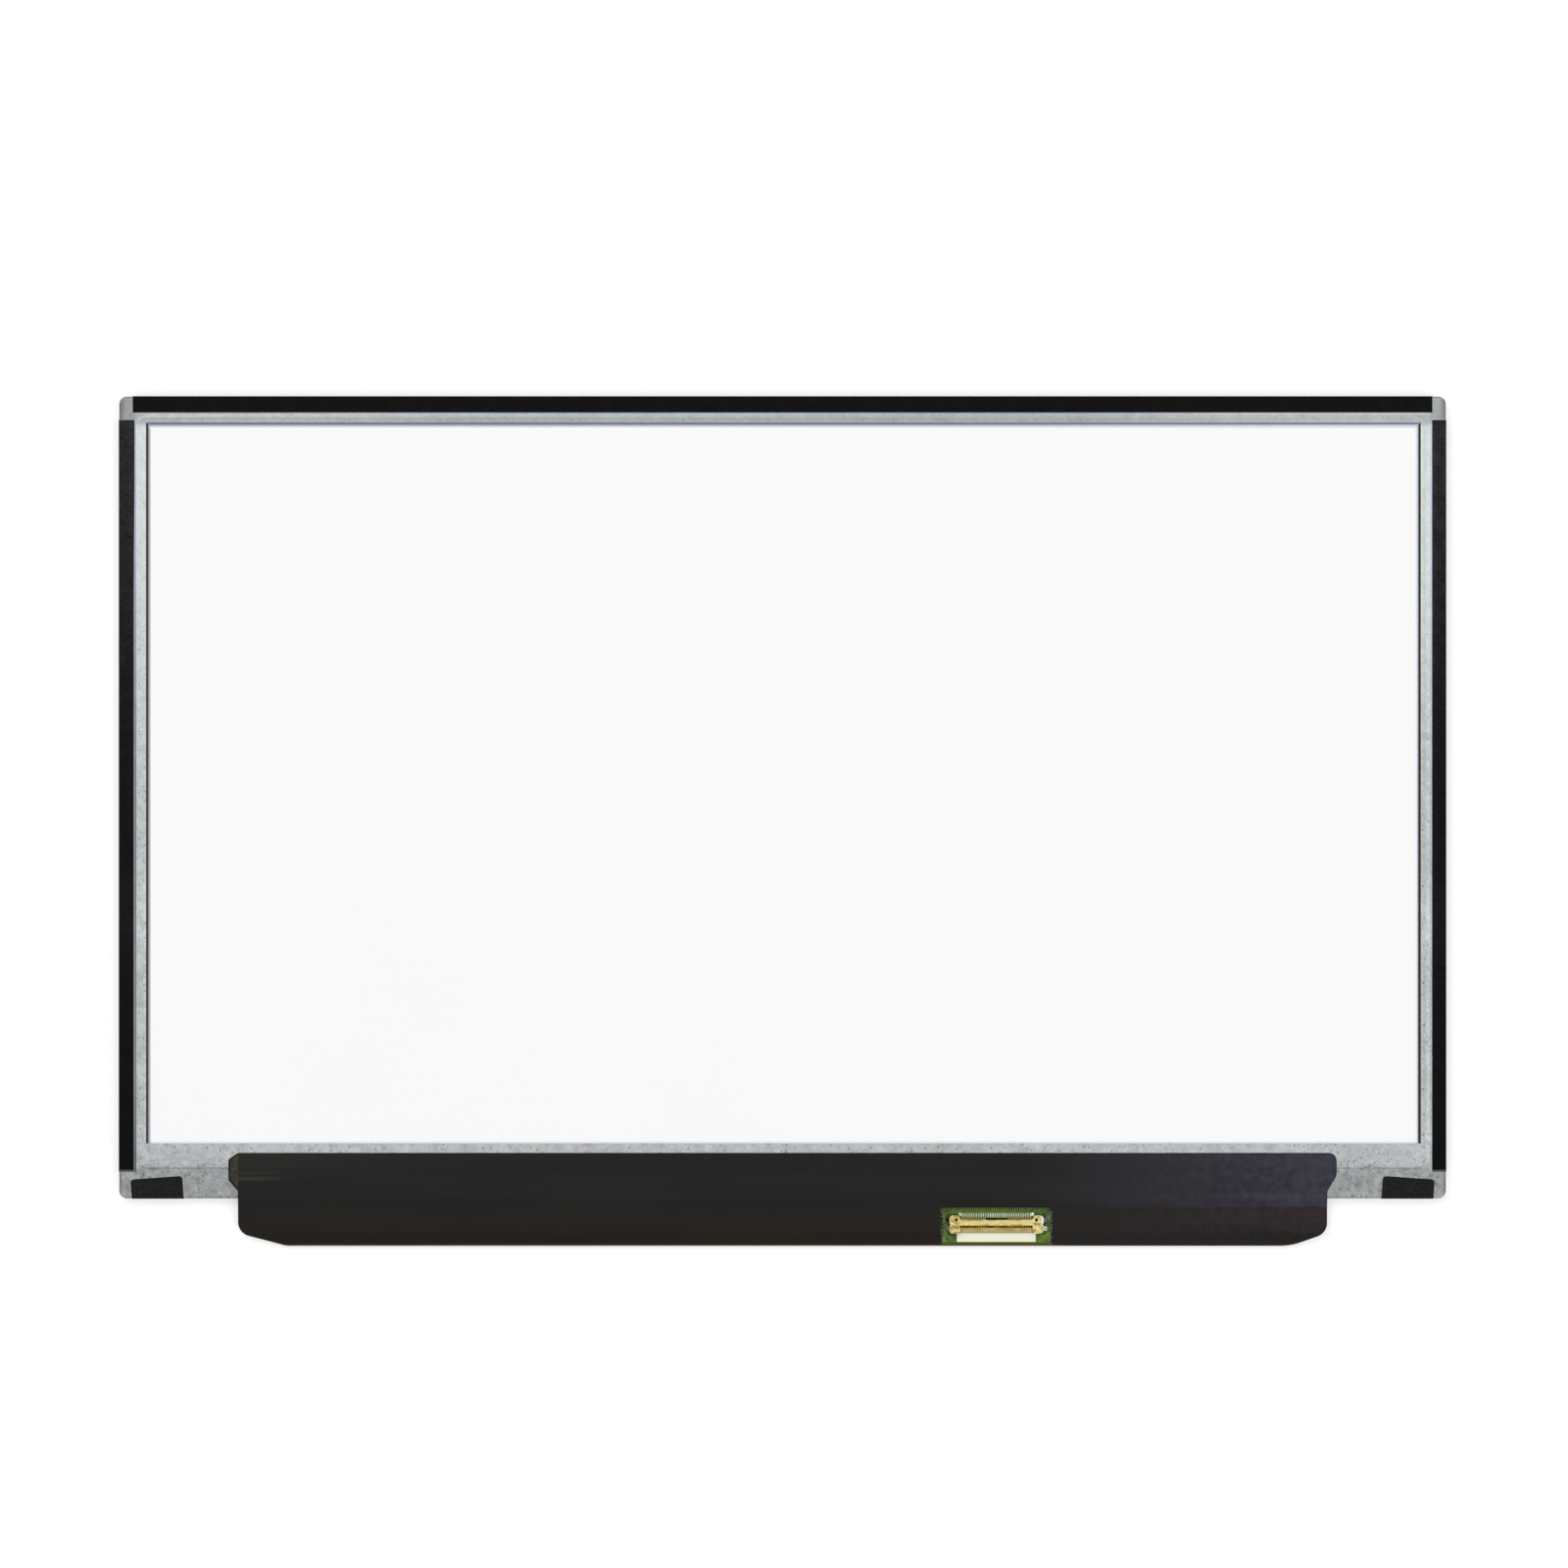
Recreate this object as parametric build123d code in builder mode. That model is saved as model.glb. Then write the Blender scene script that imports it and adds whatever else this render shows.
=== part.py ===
from build123d import *
from math import radians, tan
import os

# Laptop screen panel lying face down. X runs along the long side, Y towards the top edge, and Z = 0 is the
# screen face, so the back of the panel looks up. All sizes are in millimetres.

# Picture area and the borders round it
picture_width = 276.5
picture_height = 155.5
side_border = 3.25
top_border = 3.5
bottom_border = 12.0
board_overhang = 10.2

# Glass cell, from the screen face upwards
polarizer_thickness = 0.2
glass_thickness = 0.4
polarizer_margin = 1.05
seal_margin = 2.6
ledge_depth = 4.0
cell_tape_thickness = 0.08

# Moulded frame
mould_wall = 0.55
lip_thickness = 0.34
lip_margin = 0.35
rim_depth = 0.5
lug_length = 8.0
lug_height = 0.6
lug_spread = 50.0
side_lug_count = 3
top_lug_count = 4

# Light sheets
prism_thickness = 0.13
diffuser_thickness = 0.1
guide_thickness = 0.5
guide_margin = 2.2
reflector_thickness = 0.2

# Lamp strip
flex_thickness = 0.1
flex_overlap = 0.9
flex_tail_width = 12.0
flex_tail_from_end = 41.0
flex_tail_landing = 2.6
lamp_count = 36
lamp_length = 3.8
lamp_depth = 1.0
lamp_height = 0.45

# Steel frame
steel_thickness = 0.25
steel_corner_radius = 1.6
bend_radius = 0.3
bottom_rail = 11.7
band_width = 1.05
band_rise = 0.2
band_corner_radius = 2.0
side_step_run = 0.7
bottom_step_run = 0.3
window_lip_run = 0.9
window_shift = 0.18

# Tapes
tape_thickness = 0.1
left_tape_reach = 3.1
right_tape_reach = 3.05
top_tape_reach = 3.5
top_tape_inset = 3.0
side_tape_top_inset = 5.1
corner_tape_width = 11.05
corner_tape_reach = 4.4
corner_tape_inset = 2.8
corner_tape_tilt = 4.0
corner_tape_radius = 0.75

# Circuit board and its driver films
board_inset = 25.5
board_thickness = 0.6
right_slant_width = 7.5
left_slant_width = 10.2
slant_height = 2.75
board_side_radius = 3.1
right_foot_radius = 12.0
left_foot_radius = 1.0
driver_count = 4
driver_film_taper = 2.5
driver_film_thickness = 0.06
driver_bond = 2.2
driver_chip_length = 18.0
driver_chip_width = 1.3
driver_chip_height = 0.28

# Cover film
cover_thickness = 0.1
cover_reach = 9.7
cover_ear = 2.0
cover_ear_height = 4.85
cover_ear_taper = 3.3
cover_ear_radius = 1.7
left_ear_slant = 1.4
left_ear_drop = 0.9
left_ear_radius = 0.4
cover_step_run = 0.9
cover_ramp_run = 1.8
cover_close_run = 2.0
cover_bond = 0.75
cover_edge_back = 0.25
cover_cut_side = 0.85
cover_cut_back = 1.65

# Socket on the board
socket_x = 45.6
socket_setback = 2.65
socket_end_gap = 0.33
socket_depth = 3.9
socket_floor = 0.45
socket_wall_height = 0.33
socket_sill = 0.95
shell_thickness = 0.15
shell_bar_depth = 1.6
shell_wing_width = 2.35
shell_wing_radius = 0.8
shell_lobe_overlap = 0.4
shell_hole_radius = 0.33
shell_notch_width = 4.6
shell_notch_depth = 0.4
shell_foot_length = 0.8
shell_foot_reach = 0.7
contact_count = 30
contact_pitch = 0.5
contact_width = 0.24
contact_thickness = 0.12
contact_tail = 1.05
label_width = 16.8
label_height = 1.95
label_thickness = 0.05

# Parts on the board
chip_height = 0.8
timing_chip_size = 4.6
power_chip_size = 4.5
lamp_driver_size = 4.0
memory_chip_length = 3.0
memory_chip_width = 2.0
inductor_size = 4.0
inductor_height = 1.0
capacitor_length = 1.0
capacitor_width = 0.5
capacitor_height = 0.5
resistor_length = 1.0
resistor_width = 0.5
resistor_height = 0.35

# Clearances
fit_gap = 0.05
glass_gap = 0.15
sheet_gap = 0.25
film_gap = 0.1
lamp_gap = 0.05
side_tape_gap = 0.5
top_tape_gap = 0.3
corner_tape_gap = 1.5
side_tape_end_gap = 0.9
driver_film_gap = 17.9
board_gap = 0.3
tail_gap = 0.3

# Outline of the module
module_half = picture_width / 2 + side_border
module_height = top_border + picture_height + bottom_border
module_top = (module_height + board_overhang) / 2
board_bottom = -module_top
steel_half = module_half - tape_thickness
steel_top = module_top - tape_thickness
steel_bottom = module_top - module_height
picture_half = picture_width / 2
picture_top = module_top - top_border
picture_bottom = picture_top - picture_height

# Pocket of the moulded frame and what lies in it
mould_half = steel_half - steel_thickness - fit_gap
mould_top = steel_top - steel_thickness - fit_gap
mould_bottom = steel_bottom + steel_thickness + fit_gap
pocket_half = mould_half - mould_wall
pocket_top = mould_top - mould_wall
glass_half = pocket_half - glass_gap
glass_top = pocket_top - glass_gap
colour_glass_bottom = picture_bottom - seal_margin
array_glass_bottom = colour_glass_bottom - ledge_depth
lip_half = picture_half + lip_margin
lip_top = picture_top + lip_margin
lip_bottom = picture_bottom - lip_margin
sheet_half = pocket_half - sheet_gap
sheet_top = pocket_top - sheet_gap
guide_bottom = picture_bottom - guide_margin
flex_top = guide_bottom + flex_overlap
sheet_bottom = flex_top + sheet_gap
lamp_back = guide_bottom - lamp_gap - lamp_depth
flex_bottom = lamp_back - film_gap
bar_top = flex_bottom - film_gap

# Steel frame's raised band and window
band_half = module_half - max(left_tape_reach, right_tape_reach) - side_tape_gap - side_step_run
band_top = module_top - top_tape_reach - top_tape_gap - side_step_run
window_half = band_half - band_width - window_lip_run
window_top = band_top - band_width - window_lip_run
window_bottom = steel_bottom + bottom_rail
corner_tape_rise = tan(radians(corner_tape_tilt)) * corner_tape_width / 2
corner_tape_top = steel_bottom + corner_tape_reach + corner_tape_rise
band_bottom = corner_tape_top + corner_tape_gap + bottom_step_run

# Heights, from the screen face up
colour_glass_z = polarizer_thickness
array_glass_z = colour_glass_z + glass_thickness
cell_back_z = array_glass_z + glass_thickness
lip_front_z = cell_back_z + cell_tape_thickness
lip_back_z = lip_front_z + lip_thickness
lower_prism_z = lip_back_z + prism_thickness
diffuser_z = lower_prism_z + prism_thickness
guide_z = diffuser_z + diffuser_thickness
reflector_z = guide_z + guide_thickness
plate_inner_z = reflector_z + reflector_thickness
plate_back_z = plate_inner_z + steel_thickness
band_back_z = plate_back_z + band_rise
rim_back_z = colour_glass_z + rim_depth
steel_front_z = rim_back_z + fit_gap
flex_z = guide_z - flex_thickness
lug_z = (lip_back_z + plate_inner_z) / 2
board_back_z = array_glass_z + board_thickness
driver_film_z = array_glass_z - driver_film_thickness

# Circuit board, cover film and socket
board_half = module_half - board_inset
board_top = steel_bottom - board_gap
tail_x = board_half - flex_tail_from_end
cover_half = board_half + film_gap
cover_top = steel_bottom + cover_reach
cover_bottom = board_bottom + cover_edge_back
ramp_foot = steel_bottom - cover_ramp_run
close_head = cover_bottom + cover_bond + cover_close_run
board_middle = (ramp_foot + close_head) / 2
cover_board_z = board_back_z + max(inductor_height, chip_height, capacitor_height, resistor_height)
socket_front = board_bottom + socket_setback
socket_back = socket_front + socket_depth
shell_z = board_back_z + socket_floor + contact_thickness + socket_wall_height
contact_span = (contact_count - 1) * contact_pitch + contact_width
socket_width = contact_span + 2 * (shell_wing_width + socket_end_gap)


def span(half_width, bottom, top, radius=0.0, mode=Mode.ADD, middle=0.0):
    """Draw a rectangle about a middle X between two Y values, with rounded corners if a radius is given."""
    with Locations((middle, (bottom + top) / 2)):
        if radius > 0:
            RectangleRounded(2 * half_width, top - bottom, radius, mode=mode)
        else:
            Rectangle(2 * half_width, top - bottom, mode=mode)


def sheet(half_width, bottom, top, front_z, thickness):
    """Make one flat rectangular layer."""
    with BuildPart() as layer:
        with BuildSketch(Plane.XY.offset(front_z)):
            span(half_width, bottom, top)
        extrude(amount=thickness)
    return layer


# Glass cell: two glass plates between two polarizers
polarizer_half = picture_half + polarizer_margin
polarizer_top = picture_top + polarizer_margin
polarizer_bottom = picture_bottom - polarizer_margin
front_polarizer = sheet(polarizer_half, polarizer_bottom, polarizer_top, 0, polarizer_thickness)
colour_filter_glass = sheet(glass_half, colour_glass_bottom, glass_top, colour_glass_z, glass_thickness)
array_glass = sheet(glass_half, array_glass_bottom, glass_top, array_glass_z, glass_thickness)
rear_polarizer = sheet(
    lip_half - film_gap, lip_bottom + film_gap, lip_top - film_gap, cell_back_z, polarizer_thickness
)

with BuildPart() as cell_tape:
    with BuildSketch(Plane.XY.offset(cell_back_z)):
        span(glass_half, array_glass_bottom, glass_top)
        span(lip_half, lip_bottom, lip_top, mode=Mode.SUBTRACT)
    extrude(amount=cell_tape_thickness)

# Light sheets in the pocket behind the lip
upper_prism_sheet = sheet(sheet_half, sheet_bottom, sheet_top, lip_back_z, prism_thickness)
lower_prism_sheet = sheet(sheet_half, sheet_bottom, sheet_top, lower_prism_z, prism_thickness)
diffuser_sheet = sheet(sheet_half, sheet_bottom, sheet_top, diffuser_z, diffuser_thickness)
light_guide = sheet(sheet_half, guide_bottom, sheet_top, guide_z, guide_thickness)
reflector_sheet = sheet(sheet_half, guide_bottom, sheet_top, reflector_z, reflector_thickness)


def draw_lugs(reach, gap):
    """Draw the snap lugs that hold the steel on the moulded frame, or their windows, larger by a gap."""
    with Locations((0, (steel_top + steel_bottom) / 2)):
        with GridLocations(2 * mould_half, lug_spread, 2, side_lug_count):
            Rectangle(2 * reach, lug_length + 2 * gap)
    with Locations((0, mould_top)):
        with GridLocations(lug_spread, 0, top_lug_count, 1):
            Rectangle(lug_length + 2 * gap, 2 * reach)


lug_reach = fit_gap + steel_thickness
with BuildPart() as mould_frame:
    # Wall round the pocket, with a wider rim in front that the steel wall stands on
    with BuildSketch(Plane.XY.offset(colour_glass_z)):
        span(mould_half, mould_bottom, mould_top, steel_corner_radius - steel_thickness - fit_gap)
        span(pocket_half, mould_bottom + mould_wall, pocket_top, mode=Mode.SUBTRACT)
    extrude(amount=plate_inner_z - colour_glass_z)
    with BuildSketch(Plane.XY.offset(colour_glass_z)):
        span(steel_half, mould_bottom, steel_top, steel_corner_radius)
        span(pocket_half, mould_bottom - mould_wall, pocket_top, mode=Mode.SUBTRACT)
    extrude(amount=rim_depth)
    # Lip between the cell and the light sheets
    with BuildSketch(Plane.XY.offset(lip_front_z)):
        span(pocket_half, mould_bottom + mould_wall, pocket_top)
        span(lip_half, lip_bottom, lip_top, mode=Mode.SUBTRACT)
    extrude(amount=lip_thickness)
    # Bed under the lamp strip and the bar below it
    with BuildSketch(Plane.XY.offset(lip_back_z)):
        span(pocket_half, mould_bottom + mould_wall, flex_top)
    extrude(amount=flex_z - lip_back_z)
    with BuildSketch(Plane.XY.offset(flex_z)):
        span(pocket_half, mould_bottom + mould_wall, bar_top)
    extrude(amount=plate_inner_z - flex_z)
    # The driver films pass in front of the bottom wall, and the strip's tail through the bar
    with BuildSketch(Plane.XY.offset(colour_glass_z)):
        span(pocket_half, mould_bottom - mould_wall, array_glass_bottom)
    extrude(amount=lip_front_z - colour_glass_z, mode=Mode.SUBTRACT)
    with BuildSketch(Plane.XY.offset(flex_z)):
        with Locations((tail_x, (bar_top + mould_bottom) / 2)):
            Rectangle(flex_tail_width + 2 * tail_gap, bar_top - mould_bottom)
    extrude(amount=plate_inner_z - flex_z, mode=Mode.SUBTRACT)
    # Snap lugs on the outside
    with BuildSketch(Plane.XY.offset(lug_z - lug_height / 2)):
        draw_lugs(lug_reach, 0)
        span(pocket_half, mould_bottom, pocket_top, mode=Mode.SUBTRACT)
    extrude(amount=lug_height)

# Lamp strip: flat flexible strip, its tail down to the board, and the lamps that face the light guide
tail_end = board_top - flex_tail_landing
tail_foot = board_top - film_gap - flex_thickness
with BuildPart() as led_flex:
    with BuildSketch(Plane.XY.offset(flex_z)):
        span(picture_half, flex_bottom, flex_top)
    extrude(amount=flex_thickness)
    with BuildSketch(Plane.YZ.offset(tail_x - flex_tail_width / 2)):
        with BuildLine():
            Polyline(
                (flex_bottom, flex_z),
                (steel_bottom, flex_z),
                (tail_foot, board_back_z),
                (tail_end, board_back_z),
                (tail_end, board_back_z + flex_thickness),
                (tail_foot, board_back_z + flex_thickness),
                (steel_bottom, flex_z + flex_thickness),
                (flex_bottom, flex_z + flex_thickness),
                close=True,
            )
        make_face()
    extrude(amount=flex_tail_width)

with BuildPart() as leds:
    with BuildSketch(Plane.XY.offset(guide_z)):
        with Locations((0, lamp_back + lamp_depth / 2)):
            with GridLocations(picture_width / lamp_count, 0, lamp_count, 1):
                Rectangle(lamp_length, lamp_depth)
    extrude(amount=lamp_height)


def pressed_form(inset):
    """Make the solid under the pressed steel's outer face, or under its inner face if it is inset."""
    plate_z = plate_back_z - inset
    with BuildPart() as form:
        with BuildSketch(Plane.XY.offset(steel_front_z - inset)):
            span(steel_half - inset, steel_bottom + inset, steel_top - inset, steel_corner_radius - inset)
        extrude(amount=plate_z - steel_front_z + inset)
        if inset < bend_radius:
            fillet(form.faces().sort_by(Axis.Z)[-1].edges(), bend_radius - inset)
        with BuildSketch(Plane.XY.offset(plate_z)):
            foot_half = band_half + side_step_run
            foot_radius = band_corner_radius + side_step_run
            span(foot_half, band_bottom - bottom_step_run, band_top + side_step_run, foot_radius)
        with BuildSketch(Plane.XY.offset(plate_z + band_rise)):
            span(band_half, band_bottom, band_top, band_corner_radius)
        loft(ruled=True)
        with BuildSketch(Plane.XY.offset(plate_z)):
            span(window_half, window_bottom, window_top, middle=window_shift)
        with BuildSketch(Plane.XY.offset(plate_z + band_rise)):
            lip_edge_half = window_half + window_lip_run
            span(lip_edge_half, window_bottom, window_top + window_lip_run, middle=window_shift)
        loft(ruled=True, mode=Mode.SUBTRACT)
    return form.part


steel_outer_form = pressed_form(0)
steel_inner_form = pressed_form(steel_thickness)
with BuildPart() as rear_frame:
    add(steel_outer_form)
    add(steel_inner_form, mode=Mode.SUBTRACT)
    with BuildSketch(Plane.XY.offset(plate_inner_z)):
        span(window_half, window_bottom, window_top, middle=window_shift)
    extrude(amount=band_back_z - plate_inner_z, mode=Mode.SUBTRACT)
    # The bottom wall stops behind the driver films and is notched for the strip's tail
    with BuildSketch(Plane.XY.offset(steel_front_z)):
        span(steel_half, steel_bottom, steel_bottom + steel_corner_radius)
    extrude(amount=lip_front_z - steel_front_z, mode=Mode.SUBTRACT)
    with BuildSketch(Plane.XY.offset(lip_front_z)):
        with Locations((tail_x, steel_bottom)):
            Rectangle(flex_tail_width + 2 * tail_gap, 2 * steel_thickness)
    extrude(amount=flex_z + flex_thickness + tail_gap - lip_front_z, mode=Mode.SUBTRACT)
    # Windows for the snap lugs
    with BuildSketch(Plane.XY.offset(lug_z - lug_height / 2 - fit_gap)):
        draw_lugs(2 * lug_reach, fit_gap)
    extrude(amount=lug_height + 2 * fit_gap, mode=Mode.SUBTRACT)


def wrapped_tape(plane, length, outer, flap_front, flap_back):
    """Make a tape that wraps an edge, from the screen side round the steel wall to the back."""
    wall = outer - tape_thickness
    if outer < 0:
        wall = outer + tape_thickness
    front_z = colour_glass_z - tape_thickness
    back_z = plate_back_z + tape_thickness
    with BuildPart() as tape:
        with BuildSketch(plane):
            with BuildLine():
                FilletPolyline(
                    (flap_front, front_z),
                    (outer, front_z),
                    (outer, back_z),
                    (flap_back, back_z),
                    (flap_back, plate_back_z),
                    (wall, plate_back_z),
                    (wall, colour_glass_z),
                    (flap_front, colour_glass_z),
                    radius=[0, 0, bend_radius + tape_thickness, 0, 0, bend_radius, 0, 0],
                    close=True,
                )
            make_face()
        extrude(amount=length)
    return tape


# Edge tapes
top_tape_half = module_half - top_tape_inset
side_tape_top = module_top - side_tape_top_inset
side_tape_length = side_tape_top - corner_tape_top - side_tape_end_gap
side_plane = Plane.XZ.offset(-side_tape_top)
side_flap = polarizer_half + film_gap
top_tape = wrapped_tape(
    Plane.YZ.offset(-top_tape_half),
    2 * top_tape_half,
    module_top,
    polarizer_top + film_gap,
    module_top - top_tape_reach,
)
left_tape = wrapped_tape(
    side_plane, side_tape_length, -module_half, -side_flap, left_tape_reach - module_half
)
right_tape = wrapped_tape(
    side_plane, side_tape_length, module_half, side_flap, module_half - right_tape_reach
)


def corner_tape(side):
    """Make a small tilted tape that wraps the bottom edge, at the left (-1) or right (1) corner."""
    middle_x = side * (module_half - corner_tape_inset - corner_tape_width / 2)
    fold_y = steel_bottom - tape_thickness
    back_z = plate_back_z + tape_thickness
    flap_end_z = (lip_front_z + flex_z) / 2
    with BuildPart() as tape:
        with BuildSketch(Plane.YZ.offset(middle_x)):
            with BuildLine():
                FilletPolyline(
                    (steel_bottom + 2 * corner_tape_reach, back_z),
                    (fold_y, back_z),
                    (fold_y, flap_end_z),
                    (steel_bottom, flap_end_z),
                    (steel_bottom, plate_back_z),
                    (steel_bottom + 2 * corner_tape_reach, plate_back_z),
                    radius=[0, bend_radius + tape_thickness, 0, 0, bend_radius, 0],
                    close=True,
                )
            make_face()
        extrude(amount=corner_tape_width, both=True)
        with BuildSketch(Plane.XY.offset(flap_end_z)):
            with Locations((middle_x, steel_bottom)):
                RectangleRounded(
                    corner_tape_width,
                    2 * corner_tape_reach,
                    corner_tape_radius,
                    rotation=-side * corner_tape_tilt,
                )
        extrude(amount=back_z - flap_end_z, mode=Mode.INTERSECT)
    return tape


left_corner_tape = corner_tape(-1)
right_corner_tape = corner_tape(1)

# Circuit board with slanted lower corners
with BuildPart() as circuit_board:
    with BuildSketch(Plane.XY.offset(array_glass_z)):
        with BuildLine():
            FilletPolyline(
                (board_half, board_top),
                (board_half, board_bottom + slant_height),
                (board_half - right_slant_width, board_bottom),
                (left_slant_width - board_half, board_bottom),
                (-board_half, board_bottom + slant_height),
                (-board_half, board_top),
                radius=[0, board_side_radius, right_foot_radius, left_foot_radius, board_side_radius, 0],
                close=True,
            )
        make_face()
    extrude(amount=board_thickness)

# Driver films from the glass ledge to the front of the board, with their chips behind them
driver_film_top = array_glass_bottom + driver_bond
driver_film_bottom = board_top - driver_bond
driver_film_rise = (driver_film_top - driver_film_bottom) / 2
driver_pitch = 2 * board_half / driver_count
driver_film_half = (driver_pitch - driver_film_gap) / 2
with BuildPart() as driver_films:
    with BuildSketch(Plane.XY.offset(driver_film_z)):
        with Locations((0, (driver_film_top + driver_film_bottom) / 2)):
            with GridLocations(driver_pitch, 0, driver_count, 1):
                Polygon(
                    (-driver_film_half, driver_film_rise),
                    (driver_film_taper - driver_film_half, -driver_film_rise),
                    (driver_film_half - driver_film_taper, -driver_film_rise),
                    (driver_film_half, driver_film_rise),
                )
    extrude(amount=driver_film_thickness)

with BuildPart() as driver_chips:
    with BuildSketch(Plane.XY.offset(array_glass_z)):
        with Locations((0, (array_glass_bottom + board_top) / 2)):
            with GridLocations(driver_pitch, 0, driver_count, 1):
                Rectangle(driver_chip_length, driver_chip_width)
    extrude(amount=driver_chip_height)

# Tape over the driver films: as wide as the glass inside the frame, and as the board below it
with BuildPart() as driver_cover_tape:
    with BuildSketch(Plane.XY.offset(driver_film_z - tape_thickness)):
        span(glass_half, mould_bottom, colour_glass_bottom - film_gap)
        span(board_half - film_gap, board_top - driver_bond / 2, mould_bottom)
    extrude(amount=tape_thickness)

# Socket: moulded body, contacts with their solder tails, and a folded shell over them
riser_back = socket_back - contact_tail / 2 + contact_thickness / 2
body_back = riser_back - contact_thickness
body_front = socket_front + film_gap + shell_thickness
body_half = socket_width / 2 - shell_thickness
bar_back = body_back
bar_front = bar_back - shell_bar_depth
post_width = shell_wing_width - shell_thickness
sill_back = body_front + socket_sill
wing_x = (socket_width - shell_wing_width) / 2
hole_y = bar_back - shell_notch_depth
hole_spread = 2 * (wing_x - shell_hole_radius)
floor_z = board_back_z + socket_floor
contact_top_z = floor_z + contact_thickness

with BuildPart() as connector_housing:
    with BuildSketch(Plane.XY.offset(board_back_z)):
        with Locations((socket_x, (body_back + body_front) / 2)):
            Rectangle(2 * body_half, body_back - body_front)
    extrude(amount=socket_floor)
    with BuildSketch(Plane.XY.offset(contact_top_z)):
        with Locations((socket_x, (bar_back + bar_front) / 2)):
            Rectangle(2 * body_half, bar_back - bar_front)
    extrude(amount=socket_wall_height)
    with BuildSketch(Plane.XY.offset(floor_z)):
        with Locations((socket_x, (body_back + body_front) / 2)):
            with GridLocations(2 * body_half - post_width, 0, 2, 1):
                Rectangle(post_width, body_back - body_front)
    extrude(amount=shell_z - floor_z)
    # Sill in front of the contacts, and pits under the shell's holes
    with BuildSketch(Plane.XY.offset(floor_z)):
        with Locations((socket_x, (sill_back + body_front) / 2)):
            Rectangle(2 * body_half, sill_back - body_front)
    extrude(amount=contact_thickness)
    with BuildSketch(Plane.XY.offset(contact_top_z)):
        with Locations((socket_x, hole_y)):
            with GridLocations(hole_spread, 0, 2, 1):
                Circle(shell_hole_radius)
    extrude(amount=socket_wall_height, mode=Mode.SUBTRACT)

with BuildPart() as connector_contacts:
    for place in GridLocations(contact_pitch, 0, contact_count, 1).locations:
        left_side = socket_x + place.position.X - contact_width / 2
        with BuildSketch(Plane.YZ.offset(left_side)):
            with BuildLine():
                Polyline(
                    (riser_back - contact_thickness + contact_tail, board_back_z),
                    (riser_back - contact_thickness, board_back_z),
                    (riser_back - contact_thickness, floor_z),
                    (sill_back, floor_z),
                    (sill_back, contact_top_z),
                    (riser_back, contact_top_z),
                    (riser_back, board_back_z + contact_thickness),
                    (riser_back - contact_thickness + contact_tail, board_back_z + contact_thickness),
                    close=True,
                )
            make_face()
        extrude(amount=contact_width)

wing_middle = (socket_back + socket_front) / 2
lobe_depth = (socket_depth + shell_lobe_overlap) / 2
foot_pitch = socket_depth - lobe_depth
with BuildPart() as connector_shell:
    with BuildSketch(Plane.XY.offset(shell_z)):
        with Locations((socket_x, (bar_back + bar_front) / 2)):
            Rectangle(2 * wing_x, bar_back - bar_front)
        with Locations((socket_x, wing_middle)):
            with GridLocations(2 * wing_x, foot_pitch, 2, 2):
                RectangleRounded(shell_wing_width, lobe_depth, shell_wing_radius)
        with Locations((socket_x, bar_back)):
            Rectangle(shell_notch_width, 2 * shell_notch_depth, mode=Mode.SUBTRACT)
        with Locations((socket_x, hole_y)):
            with GridLocations(hole_spread, 0, 2, 1):
                Circle(shell_hole_radius, mode=Mode.SUBTRACT)
    extrude(amount=shell_thickness)
    # Folded legs at both ends, with solder feet on the board
    with BuildSketch(Plane.XY.offset(board_back_z)):
        with Locations((socket_x, wing_middle)):
            with GridLocations(socket_width - shell_thickness, foot_pitch, 2, 2):
                Rectangle(shell_thickness, shell_foot_length)
    extrude(amount=shell_z - board_back_z)
    with BuildSketch(Plane.XY.offset(board_back_z)):
        with Locations((socket_x, wing_middle)):
            with GridLocations(socket_width + shell_foot_reach, foot_pitch, 2, 2):
                Rectangle(shell_foot_reach, shell_foot_length)
    extrude(amount=shell_thickness)

with BuildPart() as blank_label:
    with BuildSketch(Plane.XY.offset(board_back_z)):
        with Locations((socket_x, body_front - film_gap - label_height / 2)):
            Rectangle(label_width, label_height)
    extrude(amount=label_thickness)


def board_blocks(places, length, width, height):
    """Make equal blocks on the back of the board, at places given along X and across the board."""
    with BuildPart() as blocks:
        with BuildSketch(Plane.XY.offset(board_back_z)):
            with Locations(*[(x, board_middle + y) for x, y in places]):
                Rectangle(length, width)
        extrude(amount=height)
    return blocks


# Parts on the board, from its left end to its right end
chip_pitch = timing_chip_size + inductor_size
power_x = -board_half / 2
memory_x = socket_x - socket_width / 2 - 3 * chip_pitch
timing_x = memory_x + chip_pitch
lamp_driver_x = tail_x + flex_tail_width / 2 + chip_pitch
timing_chip = board_blocks([(timing_x, 0)], timing_chip_size, timing_chip_size, chip_height)
power_chip = board_blocks([(power_x, 0)], power_chip_size, power_chip_size, chip_height)
lamp_driver_chip = board_blocks([(lamp_driver_x, 0)], lamp_driver_size, lamp_driver_size, chip_height)
memory_chip = board_blocks([(memory_x, 0)], memory_chip_length, memory_chip_width, chip_height)
inductors = board_blocks(
    [(power_x - chip_pitch, 0), (power_x + chip_pitch, 0), (lamp_driver_x + chip_pitch, 0)],
    inductor_size,
    inductor_size,
    inductor_height,
)
part_pitch = 2 * capacitor_length + 2 * capacitor_width
part_row = 2 * capacitor_length
capacitor_start = power_x + 2 * chip_pitch
capacitors = board_blocks(
    [(capacitor_start + n * part_pitch, row) for n in range(8) for row in (-part_row, part_row)],
    capacitor_length,
    capacitor_width,
    capacitor_height,
)
resistor_start = part_pitch - board_half
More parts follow.
